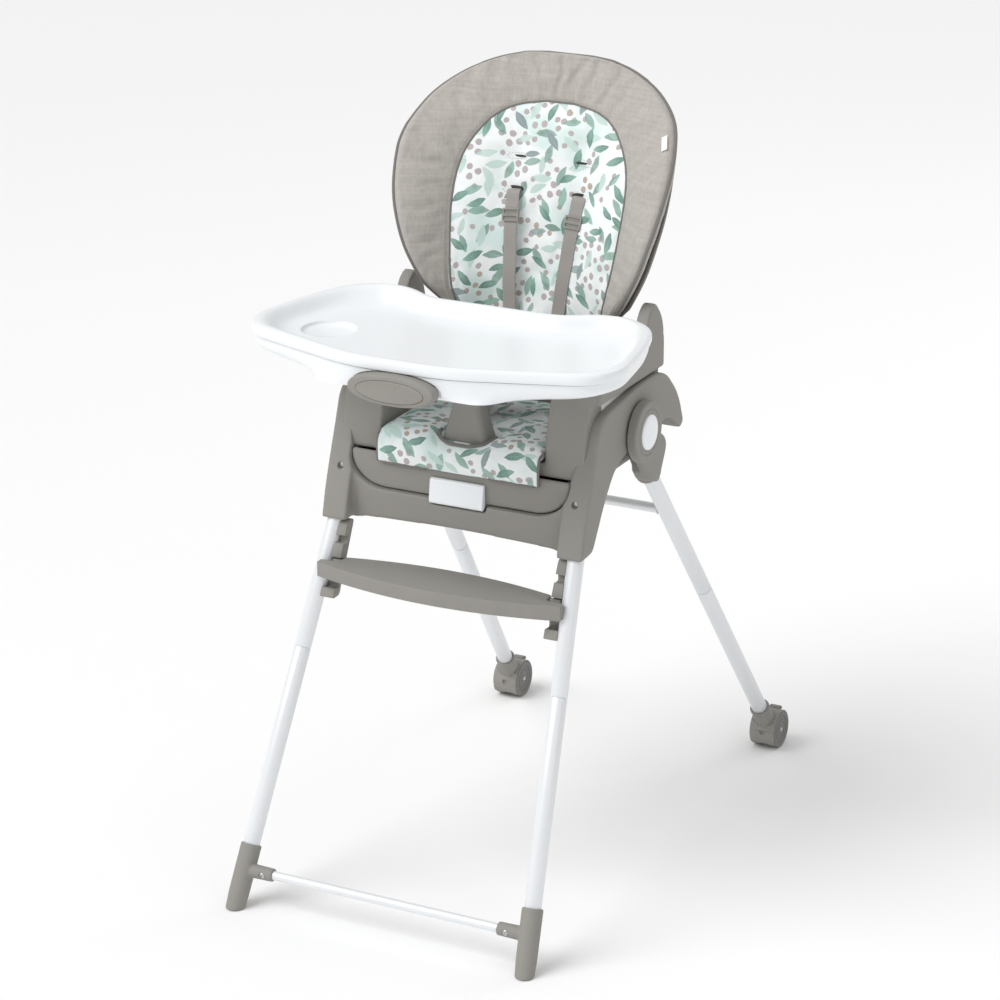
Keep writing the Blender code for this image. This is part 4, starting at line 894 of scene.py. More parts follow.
class HIGH_CHAIR_OT_casters(bpy.types.Operator):
    """Builds the twin-wheel casters and their brake levers"""
    bl_idname = "high_chair.casters"
    bl_label = "Casters"

    def execute(self, context):
        x, y, z = CASTER
        face = along(Vector((0, y, z)), Vector((1, y, z)))
        out, half = 0.0286, 0.0188
        shell = turned("caster_hood_R", [(out - 0.0008, x + half), (out, x + half - 0.001), (out, x - half + 0.001),
                                         (out - 0.0008, x - half), (out - 0.0017, x - half),
                                         (out - 0.0017, x + half)], face, 96)
        shell = joined(shell, rod("web", (x - 0.0046, y, z), (x + 0.0046, y, z), out - 0.0010, sides=96),
                       rod("socket", rear_leg(0.0450), rear_leg(0.0680), 0.0152, 0.0136),
                       rod("collar", rear_leg(0.0660), rear_leg(0.0700), 0.0143, 0.0143))
        room = [rod("room", (x + s * 0.0046, y, z), (x + s * 0.05, y, z), out - 0.0017, sides=96) for s in (1, -1)]
        shell = cut(shell, *room, rod("leg_bore", rear_leg(0.0600), rear_leg(0.2), TUBE_R + 0.0005),
                    block("mouth", (0.15, y - 0.05, -0.03), (0.27, y + 0.05, 0.0100)),
                    block("lever_notch", (x - 0.0085, y + 0.0100, z + 0.0120), (x + 0.0085, y + 0.05, z + 0.05)),
                    rod("pivot_hole", (x, y - 0.0300, z + 0.0020), (x, y - 0.0262, z + 0.0018), 0.0034))
        both_sides(softened(shell, 0.0006, 2, 50), "rear_legs", "grey_plastic", ["caster_body"])
        both_sides(rod("caster_axle_pin_R", (x - 0.0198, y, z), (x + 0.0198, y, z), 0.0030), "rear_legs",
                   "steel", ["caster_axle"])
        for label, side in (("outer", 1), ("inner", -1)):
            profile = [(0.0034, 0.0193), (0.0060, 0.0193), (0.0066, 0.0186), (0.0120, 0.0180), (0.0128, 0.0190),
                       (0.0142, 0.0190), (0.0150, 0.0180), (0.0196, 0.0178), (0.0206, 0.0192), (0.0240, 0.0205),
                       (0.0256, 0.0200), (0.0265, 0.0186), (0.0265, 0.0070), (0.0256, 0.0056), (0.0034, 0.0052)]
            run = [(radius, x + side * across) for radius, across in profile]
            if side < 0:
                run.reverse()
            both_sides(turned(f"{label}_wheel_R", run, face, 96), "wheels_right", "caster_plastic",
                       [f"caster_wheel_{label}"])
        lever = rounded([(y + 0.0150, z + 0.0232, 0.001), (y + 0.0150, z + 0.0262, 0.002),
                         (y + 0.0250, z + 0.0262, 0.003), (y + 0.0300, z + 0.0222, 0.002),
                         (y + 0.0290, z + 0.0195, 0.001), (y + 0.0215, z + 0.0195, 0.001)], 0.001)
        both_sides(slab("brake_pedal_R", lever, x - 0.0078, x + 0.0078, YZ, 0.0007, 3), "brake_right",
                   "caster_plastic", ["brake_lever"])
        return {"FINISHED"}


class HIGH_CHAIR_OT_footrest(bpy.types.Operator):
    """Moulds the footrest and the hooked plates that it clips into"""
    bl_idname = "high_chair.footrest"
    bl_label = "Footrest"

    def execute(self, context):
        low, high, peg_z = front_leg(0.3860), front_leg(0.4790), 0.4280
        outline = rounded([(low.y - 0.0085, 0.3850, 0.005), (low.y + 0.0100, 0.3850, 0.005),
                           (high.y + 0.0110, 0.4790, 0.008), (high.y - 0.0065, 0.4790, 0.006)], 0.004)
        plate = slab("footrest_hooks_R", outline, 0.1530, 0.1720, YZ)
        cutters = [rod("saddle", front_leg(0.36), front_leg(0.50), TUBE_R + 0.0004)]
        for number in range(3):
            z = peg_z + (number - 1) * 0.0270
            y = front_leg(z).y
            slot = rounded([(y - 0.030, z + 0.0010), (y - 0.030, z + 0.0122), (y - 0.002, z + 0.0062),
                            (y + 0.0035, z + 0.0045), (y + 0.0035, z - 0.0045), (y - 0.004, z - 0.0045)], 0.003)
            cutters.append(slab(f"slot_{number}", slot, 0.14, 0.18, YZ))
        both_sides(softened(cut(plate, *cutters), 0.0011, 3, 40), "frame", "grey_plastic",
                   ["footrest_bracket"])

        top, thick, end_half = 0.4335, 0.0200, 0.1760
        peg_y = front_leg(peg_z).y - 0.0005
        bow = [(end_half * math.sin(a), -0.2640 + 0.0270 * math.sin(a) ** 2)
               for a in [math.pi / 2 * step / 24 for step in range(-24, 25)]]
        rear = [(-0.1480 * math.sin(a), -0.2060 + 0.0190 * math.cos(a) ** 2)
                for a in [math.pi / 2 * step / 20 for step in range(-20, 21)]]
        rest = slab("footrest", bow + [(end_half, -0.2265), (0.1500, -0.2245)] + rear
                    + [(-0.1500, -0.2245), (-end_half, -0.2265)],
                    top - thick, top, XY, 0.0055, 5)
        arm = rounded([(-0.2300, 0.4150), (-0.2300, 0.4335), (peg_y + 0.004, 0.4335), (peg_y + 0.004, 0.4235)], 0.003)
        for side in (-1, 1):
            rest = joined(rest, rod("peg", (side * 0.1440, peg_y, peg_z), (side * 0.1655, peg_y, peg_z), 0.0040),
                          slab("arm", arm, *sorted((side * 0.1425, side * 0.1500)), YZ, 0.0012, 3))
        hollow = [block("hollow", (x0, -0.2440, 0.40), (x1, -0.2110, 0.4290), bevel=0.003)
                  for x0, x1 in ((-0.140, -0.074), (-0.070, -0.002), (0.002, 0.070), (0.074, 0.140))]
        placed(cut(rest, *hollow), "footrest", "grey_plastic", ["footrest_plate"])
        return {"FINISHED"}


class HIGH_CHAIR_OT_seat(bpy.types.Operator):
    """Moulds the seat's pan, arms, wings, crotch post and release tab"""
    bl_idname = "high_chair.seat"
    bl_label = "Seat shell"

    def execute(self, context):
        sizes = context.scene.high_chair_sizes
        room = [(x, z + (0.02 if z > SEAM_Z - 0.0001 else 0.0)) for x, z in pan_outline(-0.0040)]
        pan = cut(slab("seat_lower", pan_outline(0.0), -SEAT_REAR_Y, -PAN_FRONT_Y, XZ, 0.0045, 5),
                  slab("pan_room", room, -SEAT_REAR_Y + 0.004, -PAN_FRONT_Y - 0.004, XZ))
        placed(pan, "seat", "grey_plastic", ["seat_pan"])

        arm = rounded([(SEAT_FRONT_Y, SEAM_Z + 0.0005), (SEAT_REAR_Y, SEAM_Z + 0.0005), (SEAT_REAR_Y, 0.690, 0.01),
                       (0.038, ARM_TOP_Z, 0.01), (-0.138, ARM_TOP_Z, 0.012), (-0.156, 0.660, 0.02),
                       (SEAT_FRONT_Y, 0.615, 0.02)], 0.002)
        wing = rounded([(-0.144, 0.670, 0.003), (0.055, 0.670, 0.004), (0.055, 0.705, 0.03), (0.049, 0.740, 0.03),
                        (0.025, 0.765, 0.012), (0.008, 0.756, 0.010), (-0.008, 0.730, 0.02), (-0.040, 0.713, 0.03),
                        (-0.132, 0.705, 0.012)], 0.01)
        slot = rounded([(0.0080, 0.7200), (0.0300, 0.7300), (0.0290, 0.7340), (0.0065, 0.7240)], 0.0015)
        shell = block("seat_shell_moulding", (-0.13, SEAT_FRONT_Y, SEAM_Z + 0.0005), (0.13, SEAT_REAR_Y, SEAT_FLOOR_Z))
        shell = joined(shell, block("rear_wall", (-0.13, 0.0480, SEAM_Z + 0.0005), (0.13, SEAT_REAR_Y, 0.614)))
        for side in (1, -1):
            shell = joined(shell, slab("arm", arm, *sorted((side * ARM_IN_X, side * 0.1745)), YZ, 0.0055, 5),
                           slab("wing", wing, *sorted((side * WING_IN_X, side * WING_OUT_X)), YZ, 0.0060, 5))
            shell = cut(shell, slab("wing_slot", slot, *sorted((side * 0.15, side * (WING_IN_X + 0.004))), YZ))
        placed(moulded(shell, sizes.cover_voxel * 1.1, 5), "seat", "grey_plastic", ["seat_shell"])

        post = block("crotch_post_moulding", (-0.035, -0.164, 0.5923), (0.035, -0.122, 0.669), 0.42, 0.009, 6)
        placed(post, "seat", "grey_plastic", ["crotch_post"])
        y = -0.1746
        tab = rounded([(y, 0.5545), (y - 0.006, 0.553), (y - 0.010, 0.5225), (y - 0.007, 0.5195), (y, 0.523)], 0.003)
        placed(slab("seat_release_pull", tab, -0.039, 0.039, YZ, 0.0018, 4), "seat_release",
               "white_plastic", ["seat_release_tab"])
        return {"FINISHED"}


def tray_outline(inset):
    """The tray from above: bowed front, round corners and two horns beside the child's waist."""
    half, front, horn, waist = TRAY_HALF - inset, -0.3440 + inset, -0.0370 - inset, -0.0690 - inset
    right = [(0.070, front + 0.001, 0.06), (half - 0.022, front + 0.058, 0.05), (half, front + 0.105, 0.06),
             (half - 0.018, -0.1330, 0.10), (half - 0.040, horn - 0.028, 0.05), (0.180 - inset * 0.4, horn, 0.03),
             (0.133 + inset * 0.4, horn - 0.004, 0.03), (0.095, waist, 0.03)]
    left = [(-x, y, r) for x, y, r in reversed(right)]
    return rounded([(0, front, 0.05)] + right + [(0, waist, 0.05)] + left, 0.05, 10)


TRAY_MIDDLE = Vector((0.0, -0.1950))


def reach_of(outline, rays=240):
    """How far a closed outline lies from the tray's middle in each direction."""
    points = [Vector(p[:2]) - TRAY_MIDDLE for p in outline]
    reaches = []
    for ray in range(rays):
        angle = 2 * math.pi * ray / rays
        way = Vector((math.cos(angle), math.sin(angle)))
        best = 0.0
        for start, end in zip(points, points[1:] + points[:1]):
            run = end - start
            turn = way.x * run.y - way.y * run.x
            if abs(turn) > 1e-12:
                far = (start.x * run.y - start.y * run.x) / turn
                part = (start.x * way.y - start.y * way.x) / turn
                if far > 0 and -1e-6 <= part <= 1 + 1e-6:
                    best = max(best, far)
        reaches.append(best)
    return reaches


def lofted(name, rings):
    """A closed skin through (reaches, height) rings about the tray's middle, capped at both ends."""
    rays = len(rings[0][0])
    verts = []
    for reaches, z in rings:
        for ray, reach in enumerate(reaches):
            angle = 2 * math.pi * ray / rays
            verts.append((TRAY_MIDDLE.x + reach * math.cos(angle), TRAY_MIDDLE.y + reach * math.sin(angle), z))
    faces = sleeve_faces(len(rings), rays)
    for start, z in ((0, rings[0][1]), ((len(rings) - 1) * rays, rings[-1][1])):
        verts.append((TRAY_MIDDLE.x, TRAY_MIDDLE.y, z))
        faces += [(start + ray, start + (ray + 1) % rays, len(verts) - 1) for ray in range(rays)]
    obj = mesh_object(name, verts, faces)
    faced_out(obj.data)
    return obj


class HIGH_CHAIR_OT_tray(bpy.types.Operator):
    """Moulds the tray's base, its lift-out insert and the release handle"""
    bl_idname = "high_chair.tray"
    bl_label = "Tray"

    def execute(self, context):
        keel = rounded([(-0.115, -0.3350, 0.02), (0.115, -0.3350, 0.02), (0.165, -0.2600, 0.03),
                        (0.165, -0.1000, 0.02), (-0.165, -0.1000, 0.02), (-0.165, -0.2600, 0.03)], 0.02)
        brim, low = reach_of(tray_outline(0.0030)), reach_of(keel)
        rings = []
        for wall, lift in ((0.0, 0.0), (0.0030, 0.0026)):
            run = []
            for step in range(13):
                t = step / 12
                sink = (TRAY_SPLIT_Z - 0.0004 - ARM_TOP_Z - 0.0120) * t
                run.append(([b + (k - b) * t ** 4.5 - wall for b, k in zip(brim, low)],
                            TRAY_SPLIT_Z - 0.0004 - sink + lift * min(t * 3, 1)))
            rings += run[::-1] if not wall else run
        base = lofted("tray_base_moulding", rings)
        base = cut(base, slab("handle_room", oval(0.0612, 0.0207, (0, HANDLE_Z), 96, 0.9), 0.3364, 0.40, XZ))
        for side in (-1, 1):
            low_x, high_x = sorted((side * 0.1250, side * 0.1600))
            base = joined(base, block("runner", (low_x, -0.1300, ARM_TOP_Z + 0.0004),
                                      (high_x, -0.1050, ARM_TOP_Z + 0.0145), bevel=0.0008))
        placed(base, "tray", "white_plastic", ["tray_base"])

        rings = []
        for inset, z in ((0.0128, TRAY_BOTTOM_Z + 0.0040), (0.0118, TRAY_BOTTOM_Z + 0.0060),
                         (0.0115, TRAY_SPLIT_Z + 0.0004), (0.0030, TRAY_SPLIT_Z + 0.0004),
                         (0.0008, TRAY_SPLIT_Z + 0.0010), (0.0, TRAY_SPLIT_Z + 0.0030), (0.0002, 0.7560),
                         (0.0016, 0.7588), (0.0042, 0.7603), (0.0078, TRAY_TOP_Z), (0.0115, 0.7604), (0.0150, 0.7585),
                         (0.0185, 0.7550), (0.0225, 0.7505), (0.0270, 0.7462), (0.0325, 0.7436), (0.0390, 0.7424),
                         (0.0480, 0.7420)):
            rings.append((reach_of(tray_outline(inset)), z))
        insert = lofted("tray_insert_moulding", rings)
        cup = turned("cup", [(0, 0.80), (0.0372, 0.80), (0.0372, 0.7450), (0.0362, 0.7412), (0.0350, 0.7385),
                             (0.0325, 0.7372), (0, TRAY_BOTTOM_Z + 0.0068)],
                     Matrix.Translation((-0.1700, -0.2050, 0)), 96)
        placed(cut(insert, cup), "tray_insert", "white_plastic", ["tray_insert"])

        handle = slab("tray_release_handle", oval(0.0603, 0.0198, (0, HANDLE_Z), 96, 0.9), 0.3370, 0.3560, XZ,
                      0.0045, 5)
        handle = cut(handle, slab("badge_seat", oval(0.0475, 0.0143, (0, HANDLE_Z - 0.001), 96), 0.3548, 0.37, XZ))
        placed(handle, "tray_release", "grey_plastic", ["tray_handle"])
        badge = slab("blank_badge", oval(0.0470, 0.0138, (0, HANDLE_Z - 0.001), 96), 0.3540, 0.3570, XZ, 0.0011, 4)
        placed(badge, "tray_release", "grey_gloss", ["tray_badge"])
        return {"FINISHED"}


# ---------------------------------------------------------------------------------- back and cloth

BACK_WIDTHS = [(0.622, 0.096), (0.690, 0.096), (0.728, 0.120), (0.800, 0.162), (0.850, 0.179), (0.895, 0.186),
               (0.940, 0.183), (0.985, 0.163), (1.015, 0.133), (1.035, 0.098), (1.046, 0.062), (1.050, 0.030)]
BACK_WRAPS = [(0.622, 0.004), (0.690, 0.014), (0.715, 0.036), (0.760, 0.072), (0.850, 0.091), (0.930, 0.070),
              (0.985, 0.034), (1.050, 0.0)]
BACK_ROLL = [(0.960, 0.0), (1.050, 0.014)]
PANEL = [(0.620, 0.090), (0.700, 0.100), (0.760, 0.113), (0.820, 0.121), (0.880, 0.124), (0.920, 0.118),
         (0.950, 0.102), (0.970, 0.082), (0.982, 0.055), (0.988, 0.020)]


def back_point(u, z):
    wrap = smooth_between(BACK_WRAPS, z) * u * u
    lean = BACK_MID_Y + BACK_LEAN * (z - BACK_MID_Z) + smooth_between(BACK_ROLL, z)
    return Vector((u * smooth_between(BACK_WIDTHS, z), lean - wrap, z))


def pad_reach(z):
    """How far past the back's drawn width the pad's soft edge stands."""
    return smooth_between([(0.622, 0.990), (0.800, 0.982), (0.860, 0.990), (0.920, 1.022), (0.975, 1.080),
                           (1.020, 1.095), (1.050, 1.060)], z)


def back_normal(u, z):
    """Points to the front, away from the back's shell."""
    across = back_point(min(u + 0.01, 1), z) - back_point(max(u - 0.01, -1), z)
    z_low, z_high = max(z - 0.002, BACK_FOOT_Z), min(z + 0.002, BACK_TOP_Z)
    scale = smooth_between(BACK_WIDTHS, z_low) / smooth_between(BACK_WIDTHS, z_high)
    lower_u = u / max(scale, 0.2)
    up = back_point(u, z_high) - back_point(lower_u if abs(lower_u) <= 1 else u, z_low)
    normal = up.cross(across)
    return normal.normalized() * (-1.0 if normal.y > 0 else 1.0)


def pillow(name, columns, rows, skin, depth_at):
    """A closed pad: skin(s, t) gives a front point, its normal, a print place and a border value."""
    front, rear, prints, borders = [], [], [], []
    for row in range(rows):
        for column in range(columns):
            s, t = column / (columns - 1) * 2 - 1, row / (rows - 1)
            point, normal, place, border = skin(s, t)
            depth = depth_at(s, t)
            middle = point - normal * PAD_DEPTH * 0.5
            front.append(middle + normal * depth * 0.5)
            rear.append(middle - normal * depth * 0.5)
            prints.append(place)
            borders.append(border)
    mesh = bpy.data.meshes.new(name)
    mesh.from_pydata([tuple(v) for v in front + rear], [], skin_faces(rows, columns))
    mark_skins(mesh, prints, borders)
    bm = bmesh.new()
    bm.from_mesh(mesh)
    bmesh.ops.remove_doubles(bm, verts=bm.verts, dist=0.00012)
    bmesh.ops.dissolve_degenerate(bm, dist=0.00002, edges=bm.edges)
    bmesh.ops.recalc_face_normals(bm, faces=bm.faces)
    bm.to_mesh(mesh)
    bm.free()
    return linked(name, mesh)


def swollen(obj, held, lift, pressure=4.0):
    """Blows a pad up with a cloth simulation; held gives each point's grip, and no point moves past lift."""
    sizes = bpy.context.scene.high_chair_sizes
    start = np.empty(len(obj.data.vertices) * 3)
    obj.data.vertices.foreach_get("co", start)
    start = start.reshape(-1, 3)
    group = obj.vertex_groups.new(name="held")
    for index, grip in enumerate(held):
        if grip > 0.001:
            group.add([index], float(grip), "REPLACE")
    cloth = obj.modifiers.new("swell", "CLOTH")
    settings = cloth.settings
    settings.quality, settings.mass, settings.air_damping = 4, 0.15, 2.0
    settings.tension_stiffness = settings.compression_stiffness = 12.0
    settings.shear_stiffness, settings.bending_stiffness = 6.0, 0.4
    settings.use_pressure, settings.uniform_pressure_force = True, pressure
    settings.effector_weights.gravity = 0.0
    settings.vertex_group_mass = "held"
    settings.shrink_min = -0.015
    cloth.point_cache.frame_start, cloth.point_cache.frame_end = 1, sizes.swell_frames
    for frame in range(1, sizes.swell_frames + 1):
        bpy.context.scene.frame_set(frame)
    shaped = obj.evaluated_get(bpy.context.evaluated_depsgraph_get())
    after = np.empty_like(start).reshape(-1)
    shaped.data.vertices.foreach_get("co", after)
    move = after.reshape(-1, 3) - start
    size = np.linalg.norm(move, axis=1, keepdims=True)
    move *= np.tanh(size / lift) * lift / np.maximum(size, 1e-9)
    obj.modifiers.clear()
    obj.vertex_groups.clear()
    bpy.context.scene.frame_set(1)
    obj.data.vertices.foreach_set("co", (start + move).reshape(-1))
    obj.data.update()
    smooth = obj.modifiers.new("round", "SUBSURF")
    smooth.levels = smooth.render_levels = 1
    smooth.subdivision_type = "CATMULL_CLARK"
    return settled(obj)


def panel_edge(steps=60):
    """The sewn edge of the printed panel, seen from the front."""
    right = []
    for step in range(steps + 1):
        z = PANEL[0][0] + (PANEL[-1][0] - PANEL[0][0]) * math.sin(math.pi / 2 * step / steps)
        right.append((smooth_between(PANEL, z), z))
    return right + [(-x, z) for x, z in reversed(right)]


def signed_gap(edge, points):
    """Distance of each (x, z) point from an open edge; negative inside it."""
    edge, points = np.array(edge), np.array(points)
    low, high = edge[:-1], edge[1:]
    run = high - low
    best = np.full(len(points), 1e9)
    for start, step in zip(low, run):
        t = np.clip(((points - start) @ step) / max(step @ step, 1e-12), 0, 1)
        best = np.minimum(best, np.linalg.norm(points - start - t[:, None] * step, axis=1))
    half = np.interp(points[:, 1], [z for _x, z in edge[:len(edge) // 2]], [x for x, _z in edge[:len(edge) // 2]])
    inside = (np.abs(points[:, 0]) < half) & (points[:, 1] < edge[len(edge) // 2][1])
    return np.where(inside, -best, best)


class Ray:
    """Finds the surface of a finished pad in front of a point."""

    def __init__(self, obj):
        mesh = obj.data
        mesh.calc_loop_triangles()
        self.tree = BVHTree.FromPolygons([v.co.copy() for v in mesh.vertices],
                                         [tuple(t.vertices) for t in mesh.loop_triangles])

    def front(self, x, z, lift=0.0):
        hit, normal, _index, _distance = self.tree.ray_cast(Vector((x, -0.6, z)), Vector((0, 1, 0)))
        if hit is None:
            return None
        if normal.y > 0:
            normal = -normal
        return hit + normal * lift + Vector((0, MIDDLE_Y, 0))


def print_arc(z):
    """Arc length from the middle of the back out to u, for the print."""
    table, total, before = [(0.0, 0.0)], 0.0, back_point(0, z)
    for step in range(1, 17):
        here = back_point(step / 16, z)
        total += (here - before).length
        table.append((step / 16, total))
        before = here
    return table


class HIGH_CHAIR_OT_back(bpy.types.Operator):
    """Moulds the back's ribbed shell and its recline lever"""
    bl_idname = "high_chair.back"
    bl_label = "Back shell"

    def execute(self, context):
        low, high, columns, rows = BACK_FOOT_Z + 0.004, BACK_TOP_Z - 0.012, 73, 97
        verts = []
        for layer in (0, 1):
            for row in range(rows):
                z = low + (high - low) * math.sin(math.pi / 2 * row / (rows - 1))
                for column in range(columns):
                    turn = math.pi / 2 * 0.92
                    u = math.sin((column / (columns - 1) * 2 - 1) * turn) / math.sin(turn)
                    point, normal = back_point(u * 0.955, z), back_normal(u * 0.955, z)
                    edge = min((1 - abs(u)) * smooth_between(BACK_WIDTHS, z), high - z, z - low)
                    lip = 0.0016 * (1 - min(edge / 0.004, 1)) ** 2
                    rib = 0.0022 * sum(math.exp(-((point.x - at) / 0.0030) ** 2) for at in (-0.075, -0.0285, 0.0285,
                                                                                           0.075))
                    rib *= min(max((edge - 0.012) / 0.02, 0), 1)
                    depth = PAD_DEPTH + 0.0035 + (0.005 - lip + rib if layer else lip)
                    verts.append(point - normal * depth)
        count, faces = columns * rows, skin_faces(rows, columns)
        rim = (list(range(columns)) + [r * columns + columns - 1 for r in range(1, rows)]
               + [(rows - 1) * columns + c for c in range(columns - 2, -1, -1)]
               + [r * columns for r in range(rows - 2, 0, -1)])
        for a, b in zip(rim, rim[1:] + rim[:1]):
            faces.append((b, a, count + a, count + b))
        shell = mesh_object("back_shell_moulding", verts, faces)
        faced_out(shell.data)
        slits = []
        for z in (0.8740, 0.9170):
            for side in (-1, 1):
                place = back_point(side * 0.0480 / smooth_between(BACK_WIDTHS, z), z)
                slits.append(block("belt_slit", (place.x - 0.0130, place.y + 0.015, z - 0.0022),
                                   (place.x + 0.0130, place.y + 0.055, z + 0.0022)))
        placed(cut(shell, *slits), "back", "grey_plastic", ["back_shell"])
        outline = rounded([(0.0, 0.0), (0.016, 0.004), (0.018, 0.024), (0.010, 0.030), (0.0, 0.030)], 0.004)
        rear = back_point(0, 0.90) + Vector((0, PAD_DEPTH + 0.0190, 0))
        lever = slab("recline_lever_pull", [(rear.y + u, rear.z + v) for u, v in outline], -0.045, 0.045, YZ,
                     0.0035, 4)
        placed(lever, "recline_lever", "grey_plastic", ["recline_handle"])
        return {"FINISHED"}


class HIGH_CHAIR_OT_back_pad(bpy.types.Operator):
    """Sews the back pad: a printed panel in a plain border, blown up as cloth"""
    bl_idname = "high_chair.back_pad"
    bl_label = "Back pad"

    def execute(self, context):
        columns, rows = 97, 113
        edge = panel_edge()
        points, cells = [], {}

        def height(t):
            return BACK_FOOT_Z + (BACK_TOP_Z - BACK_FOOT_Z) * math.sin(t * math.pi / 2)

        def across(s):
            return math.sin(s * math.pi / 2 * 0.94) / math.sin(math.pi / 2 * 0.94)

        for row in range(rows):
            z = height(row / (rows - 1))
            arc = print_arc(z)
            for column in range(columns):
                u = across(column / (columns - 1) * 2 - 1)
                point = back_point(u * pad_reach(z), z)
                out = np.interp(abs(u), [a for a, _l in arc], [b for _a, b in arc])
                points.append((point.x, z))
                cells[(column, row)] = (point, back_normal(u, z), (math.copysign(out, u), z * 1.03))
        gaps = signed_gap(edge, points)

        def skin(s, t):
            column, row = round((s + 1) / 2 * (columns - 1)), round(t * (rows - 1))
            point, normal, place = cells[(column, row)]
            gap = float(gaps[row * columns + column])
            u, z = across(s), height(t)
            rim = min((1 - abs(u)) * smooth_between(BACK_WIDTHS, z) * 1.25, (BACK_TOP_Z - z) * 1.6)
            groove = 0.0035 * math.exp(-(gap / 0.0035) ** 2)
            bearing = math.atan2(point.x, z - 0.86)
            gather = 0.0
            if gap > 0:
                ripple = noise.noise(Vector((bearing * 9.0, gap * 30.0, 3.1)))
                fade = min(gap / 0.010, 1) * min(max(rim, 0) / 0.010, 1)
                height_fade = min(max((z - 0.80) / 0.12, 0.25), 1)
                pleat = math.sin(bearing * 40 + ripple * 4.0) * (0.35 + 0.65 * math.exp(-(bearing / 0.45) ** 2))
                gather = fade * height_fade * (0.0026 * pleat + 0.0014 * ripple)
            else:
                ripple = noise.noise(Vector((point.x * 24, z * 24, 7.7)))
                gather = 0.0010 * ripple * min(-gap / 0.01, 1)
            return point + normal * (gather - groove), normal, place, gap

        def depth_at(s, t):
            u, z = across(s), height(t)
            rim = min((1 - abs(u)) * smooth_between(BACK_WIDTHS, z) * 1.1, (BACK_TOP_Z - z) * 1.9,
                      (z - BACK_FOOT_Z) * 1.3)
            near = 1 - min(max(rim, 0) / 0.009, 1)
            return PAD_DEPTH * max(1 - near ** 2.4, 0) ** 0.5

        pad = pillow("back_pad_cloth", columns, rows, skin, depth_at)
        border = np.empty(len(pad.data.vertices))
        pad.data.attributes["border"].data.foreach_get("value", border)
        rear = np.empty(len(pad.data.vertices))
        pad.data.attributes["rear_side"].data.foreach_get("value", rear)
        place = np.empty(len(pad.data.vertices) * 3)
        pad.data.vertices.foreach_get("co", place)
        place = place.reshape(-1, 3)
        held = np.exp(-(border / 0.0045) ** 2)
        for z in (0.8740, 0.9170):
            far = np.hypot(np.abs(place[:, 0]) - 0.0480, (place[:, 2] - z) * 1.6)
            held = np.maximum(held, np.exp(-(far / 0.010) ** 4))
        low = np.clip(1 - (place[:, 2] - BACK_FOOT_Z) / 0.02, 0, 1)
        held = np.clip(np.maximum(np.maximum(held, low), rear), 0, 1)
        sides = np.array([abs(x) / smooth_between(BACK_WIDTHS, z) for x, z in place[:, [0, 2]]])
        held = np.maximum(held, np.clip((sides - 0.955) / 0.03, 0, 1))
        held = np.maximum(held, np.clip((place[:, 2] - 1.038) / 0.008, 0, 1))
        pad = swollen(pad, held, context.scene.high_chair_sizes.pad_lift)
        placed(pad, "back", "leaf_fabric", ["back_pad"], 0)

        ray = Ray(pad)
        seam = [ray.front(x, z, -0.0003) for x, z in edge[3:-3]]
        seam_line("panel_piping", [p for p in seam if p], "back", "piping", 0.0016)
        run, gap = [], 0.0055
        for (x0, z0), (x1, z1) in zip(edge[3:-4], edge[4:-3]):
            side = Vector((z1 - z0, x0 - x1)).normalized() * gap
            hit = ray.front((x0 + x1) / 2 + side.x, (z0 + z1) / 2 + side.y, 0.0002)
            if hit:
                run.append(hit)
        stitch_run("border_stitches", run, "back")
        rim = []
        for step in range(241):
            angle = math.pi * (step / 240 - 0.5)
            z = BACK_FOOT_Z + 0.008 + (BACK_TOP_Z - BACK_FOOT_Z - 0.008) * math.cos(angle) ** 0.8
            rim.append((1 if angle > 0 else -1, min(z, BACK_TOP_Z)))
        path = []
        for side, z in rim:
            point, normal = back_point(side * pad_reach(z), z), back_normal(side, z)
            out = Vector((side * 0.0006, 0, 0.0006 if z > 1.03 else 0))
            path.append(point - normal * PAD_DEPTH * 0.5 + out)
        seam_line("rim_piping", path, "back", "piping", context.scene.high_chair_sizes.piping_radius)
        for z, wide, tall, rise in ((0.8740, 0.0120, 0.0034, 0.0015), (0.9170, 0.0115, 0.0013, 0.0)):
            centre = ray.front(0.0480, z)
            # Each strap slit gets a thin near-black slab of painted shade, standing for the hollow of the opening.
            slit = slab(f"strap_slit_{round(z * 1000)}_R", oval(wide, tall, (0.0480, z + rise), 40, 0.8),
                        -centre.y - 0.0020, -centre.y + 0.0009, XZ, 0.0004, 2)
            both_sides(slit, "back", "dark_recess")
            run = [ray.front(0.0480 + x, z + dz, 0.0003) for x, dz in oval(wide + 0.0022, 0.0040, (0, 0), 48, 0.7)]
            for side in (1, -1):
                stitch_run(f"slit_stitches_{round(z * 1000)}_{'R' if side > 0 else 'L'}",
                           [Vector((side * p.x, p.y, p.z)) for p in run + run[:1] if p], "back", 0.0022, 0.0004)
        return {"FINISHED"}


# --------------------------------------------------------------------------------- seams and straps

def tree_input(tree, name, kind, default=None):
    socket = tree.interface.new_socket(name, in_out="INPUT", socket_type=kind)
    if default is not None:
        socket.default_value = default
    return socket


